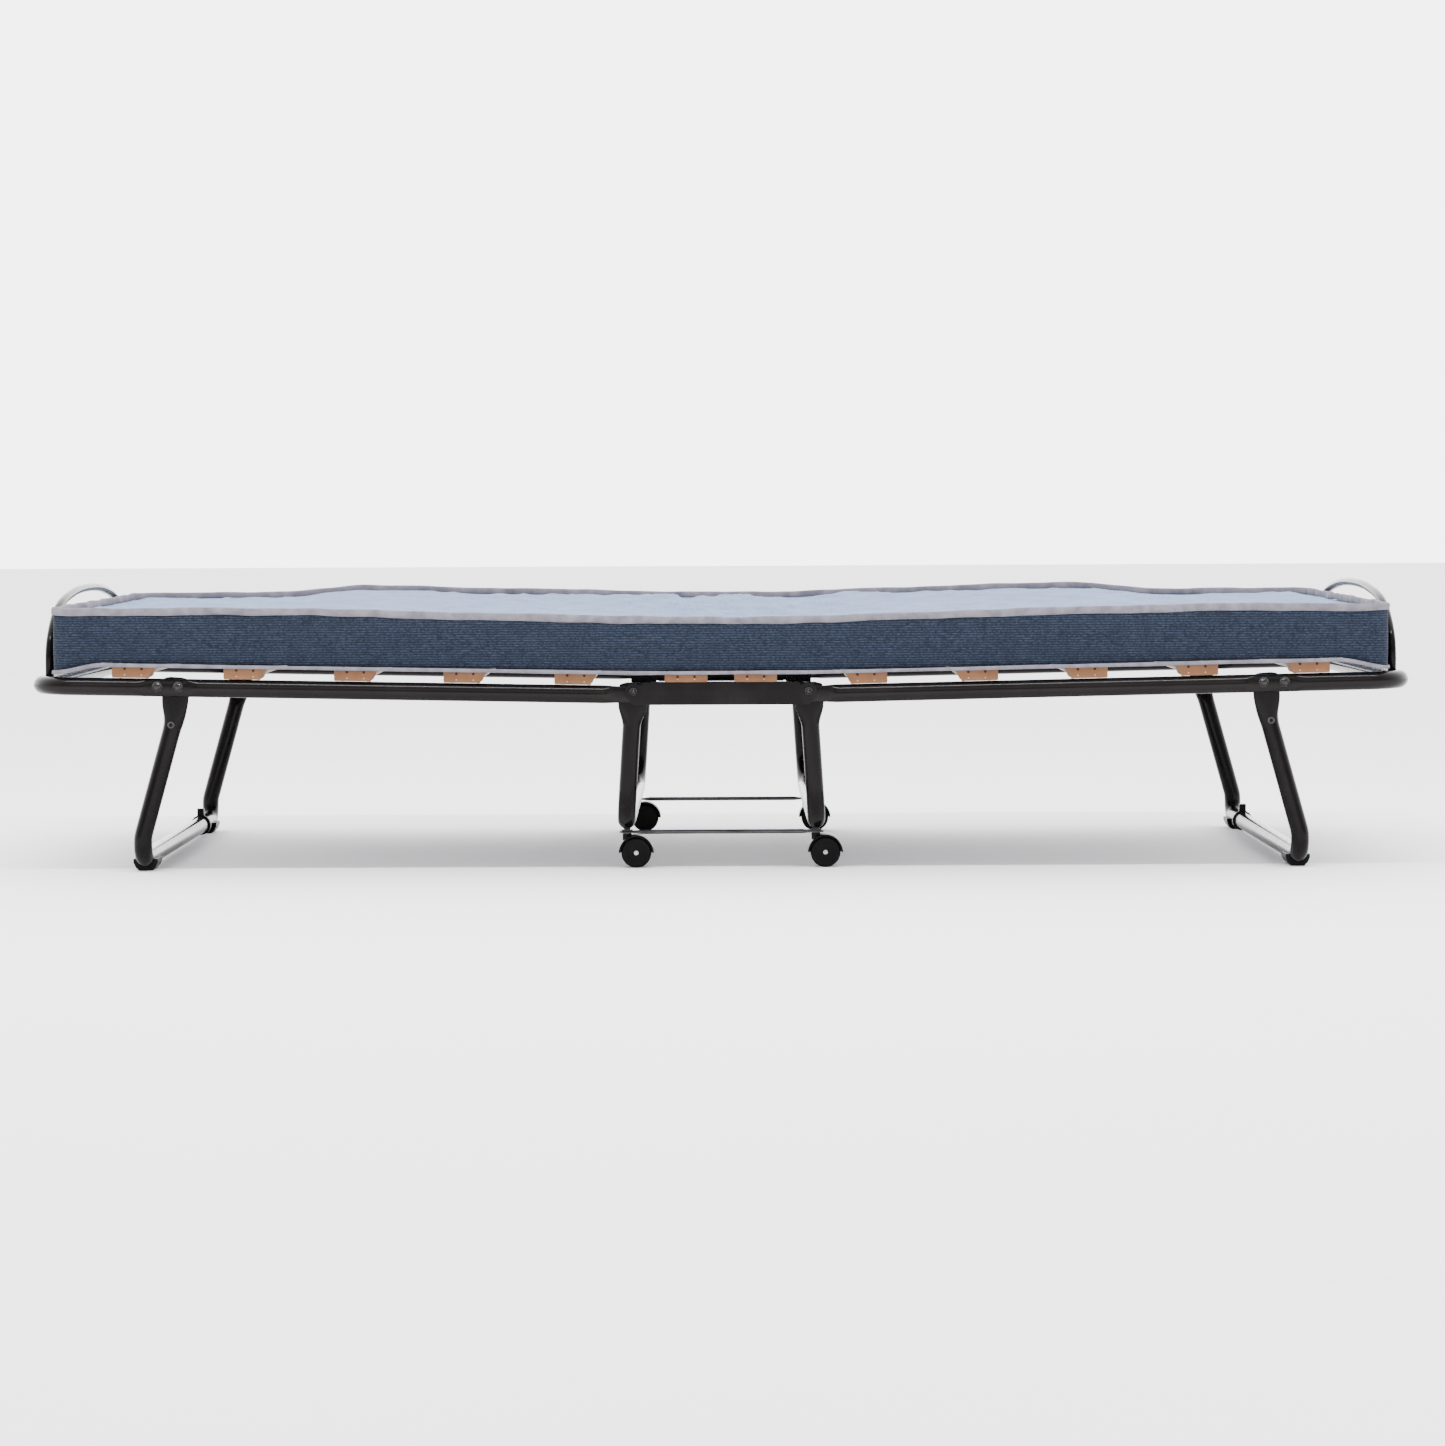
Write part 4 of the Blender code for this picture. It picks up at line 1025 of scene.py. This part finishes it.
def make_rivets():
    """Hinge pins, leg pivots and leg stops, and the rimmed hole below each end leg's head."""
    plate_face = RAIL_Y + FLAT_HALF + GAP + 0.002
    hinge_tail = MID_LEG_HEAD_Y - FLAT_HALF
    rail_face = RAIL_Y + DIMPLE_HALF_T
    leg_face = END_LEG_Y + LEG_R - 2 * FLAT_HALF
    rim = turned_mesh([(0.0026, 0.0006), (0.0034, 0.0012), (0.0042, 0.0012), (0.0049, 0.0006),
                       (0.0051, -0.0012), (0.0024, -0.0012), (0.0026, 0.0006)], 40)
    hole = turned_mesh([(0, 0.0003), (0.0030, 0.0003), (0.0030, -0.0010), (0, -0.0010)], 32)
    for label, sign in SIDES.items():
        hinge = hinge_matrix(label)
        rail = half_frame_matrix(label)
        pivot = rail @ Matrix.Translation((END_LEG_ALONG, 0, -LEG_PIVOT_DROP))
        stop = rail @ Matrix.Translation((END_LEG_ALONG + STOP_OFFSET, 0, -LEG_PIVOT_DROP))
        leg = end_leg_matrix(label)
        for end, side in ENDS.items():
            out = side * sign
            lie = Matrix.Rotation(math.radians(-90 * out), 4, "X")
            kinds = (("hinge_pin", hinge, hinge_tail, plate_face, "centre"),
                     ("leg_pivot", pivot, leg_face, rail_face, f"{label}_frame"),
                     ("leg_stop", stop, leg_face + 0.001, rail_face, f"{label}_frame"))
            for kind, place, tail_y, head_y, body in kinds:
                mesh = rivet_mesh(head_y - tail_y, 1.0 if kind == "hinge_pin" else LEG_RIVET_WIDER)
                matrix = place @ Matrix.Translation((0, out * tail_y, 0)) @ lie
                rivet = add_piece(f"rivet_{kind}_{label}_{end}", mesh, [RIVET_PAINT], matrix)
                place_piece(rivet, body, "rivet", f"{kind}_{label}_{end}")
            spot = leg @ Matrix.Translation((0.0135, out * (END_LEG_Y + LEG_R), -0.054)) @ lie
            body = f"{label}_leg"
            place_piece(add_piece(f"leg_rim_{label}_{end}", rim, [RIM_PAINT], spot), body, "rivet")
            place_piece(add_piece(f"leg_hole_{label}_{end}", hole, [LEG_PAINT], spot), body, "rivet")


# ---- stage ----

CAMERA_AWAY = 5.40
CAMERA_Z = 0.498
CAMERA_X = 0.002
FOCAL_PX = 3909.0
IMAGE_PX = 1445.0
HORIZON_ABOVE_CENTRE_PX = 211.5
ROLL = math.radians(0.25)
FRONT_SKY = 0.9
REAR_SKY = 5.5


def make_camera():
    """A long lens at bed height, tipped down a little."""
    data = bpy.data.cameras.new("camera")
    data.sensor_width = 36.0
    data.lens = FOCAL_PX * 36.0 / IMAGE_PX
    data.clip_end = 100.0
    camera = bpy.data.objects.new("camera", data)
    bpy.context.scene.collection.objects.link(camera)
    pitch = math.atan(HORIZON_ABOVE_CENTRE_PX / FOCAL_PX)
    turn = Matrix.Rotation(math.pi / 2 - pitch, 4, "X") @ Matrix.Rotation(-ROLL, 4, "Z")
    camera.matrix_world = Matrix.Translation((CAMERA_X, -RAIL_Y - CAMERA_AWAY, CAMERA_Z)) @ turn
    bpy.context.scene.camera = camera


def add_light(name, place, aim, size, watts):
    """A soft rectangular lamp."""
    data = bpy.data.lights.new(name, "AREA")
    data.shape = "RECTANGLE"
    data.size = size[0]
    data.size_y = size[1]
    data.energy = watts
    light = bpy.data.objects.new(name, data)
    bpy.context.scene.collection.objects.link(light)
    light.location = place
    light.rotation_euler = (Vector(aim) - Vector(place)).to_track_quat("-Z", "Y").to_euler()


def make_stage():
    """Pale floor, white surround and soft lamps."""
    bm = bmesh.new()
    bmesh.ops.create_grid(bm, x_segments=2, y_segments=2, size=30.0)
    floor = add_piece("floor", finish_mesh(bm, "floor"), [])
    material = new_material("floor_white", (0.88, 0.88, 0.88), 0.9)
    nodes = Nodes(material)
    nodes.colour(nodes.mix(nodes.noise(2.0, 2.0), (0.87, 0.87, 0.87), (0.90, 0.90, 0.90)))
    floor.data.materials.append(material)
    world = bpy.data.worlds.new("studio")
    world.use_nodes = True
    tree = world.node_tree
    place = tree.nodes.new("ShaderNodeTexCoord")
    split = tree.nodes.new("ShaderNodeSeparateXYZ")
    tree.links.new(place.outputs["Generated"], split.inputs["Vector"])
    spread = tree.nodes.new("ShaderNodeMapRange")
    spread.interpolation_type = "SMOOTHSTEP"
    spread.inputs["From Min"].default_value = -0.9
    spread.inputs["From Max"].default_value = 0.7
    spread.inputs["To Min"].default_value = FRONT_SKY
    spread.inputs["To Max"].default_value = REAR_SKY
    tree.links.new(split.outputs["Y"], spread.inputs["Value"])
    tree.nodes["Background"].inputs["Color"].default_value = (1.0, 1.0, 1.0, 1.0)
    tree.links.new(spread.outputs["Result"], tree.nodes["Background"].inputs["Strength"])
    bpy.context.scene.world = world
    add_light("overhead", (0.0, -1.4, 3.0), (0, 0, 0.2), (4.0, 0.12), 150.0)
    add_light("front", (0.0, -4.0, 2.2), (0, 0, 0.3), (4.0, 1.6), 30.0)


make_camera()
make_tubes()
make_slats()
make_casters()
make_mattress()
finish_cad_nodes()
make_rivets()
make_stage()
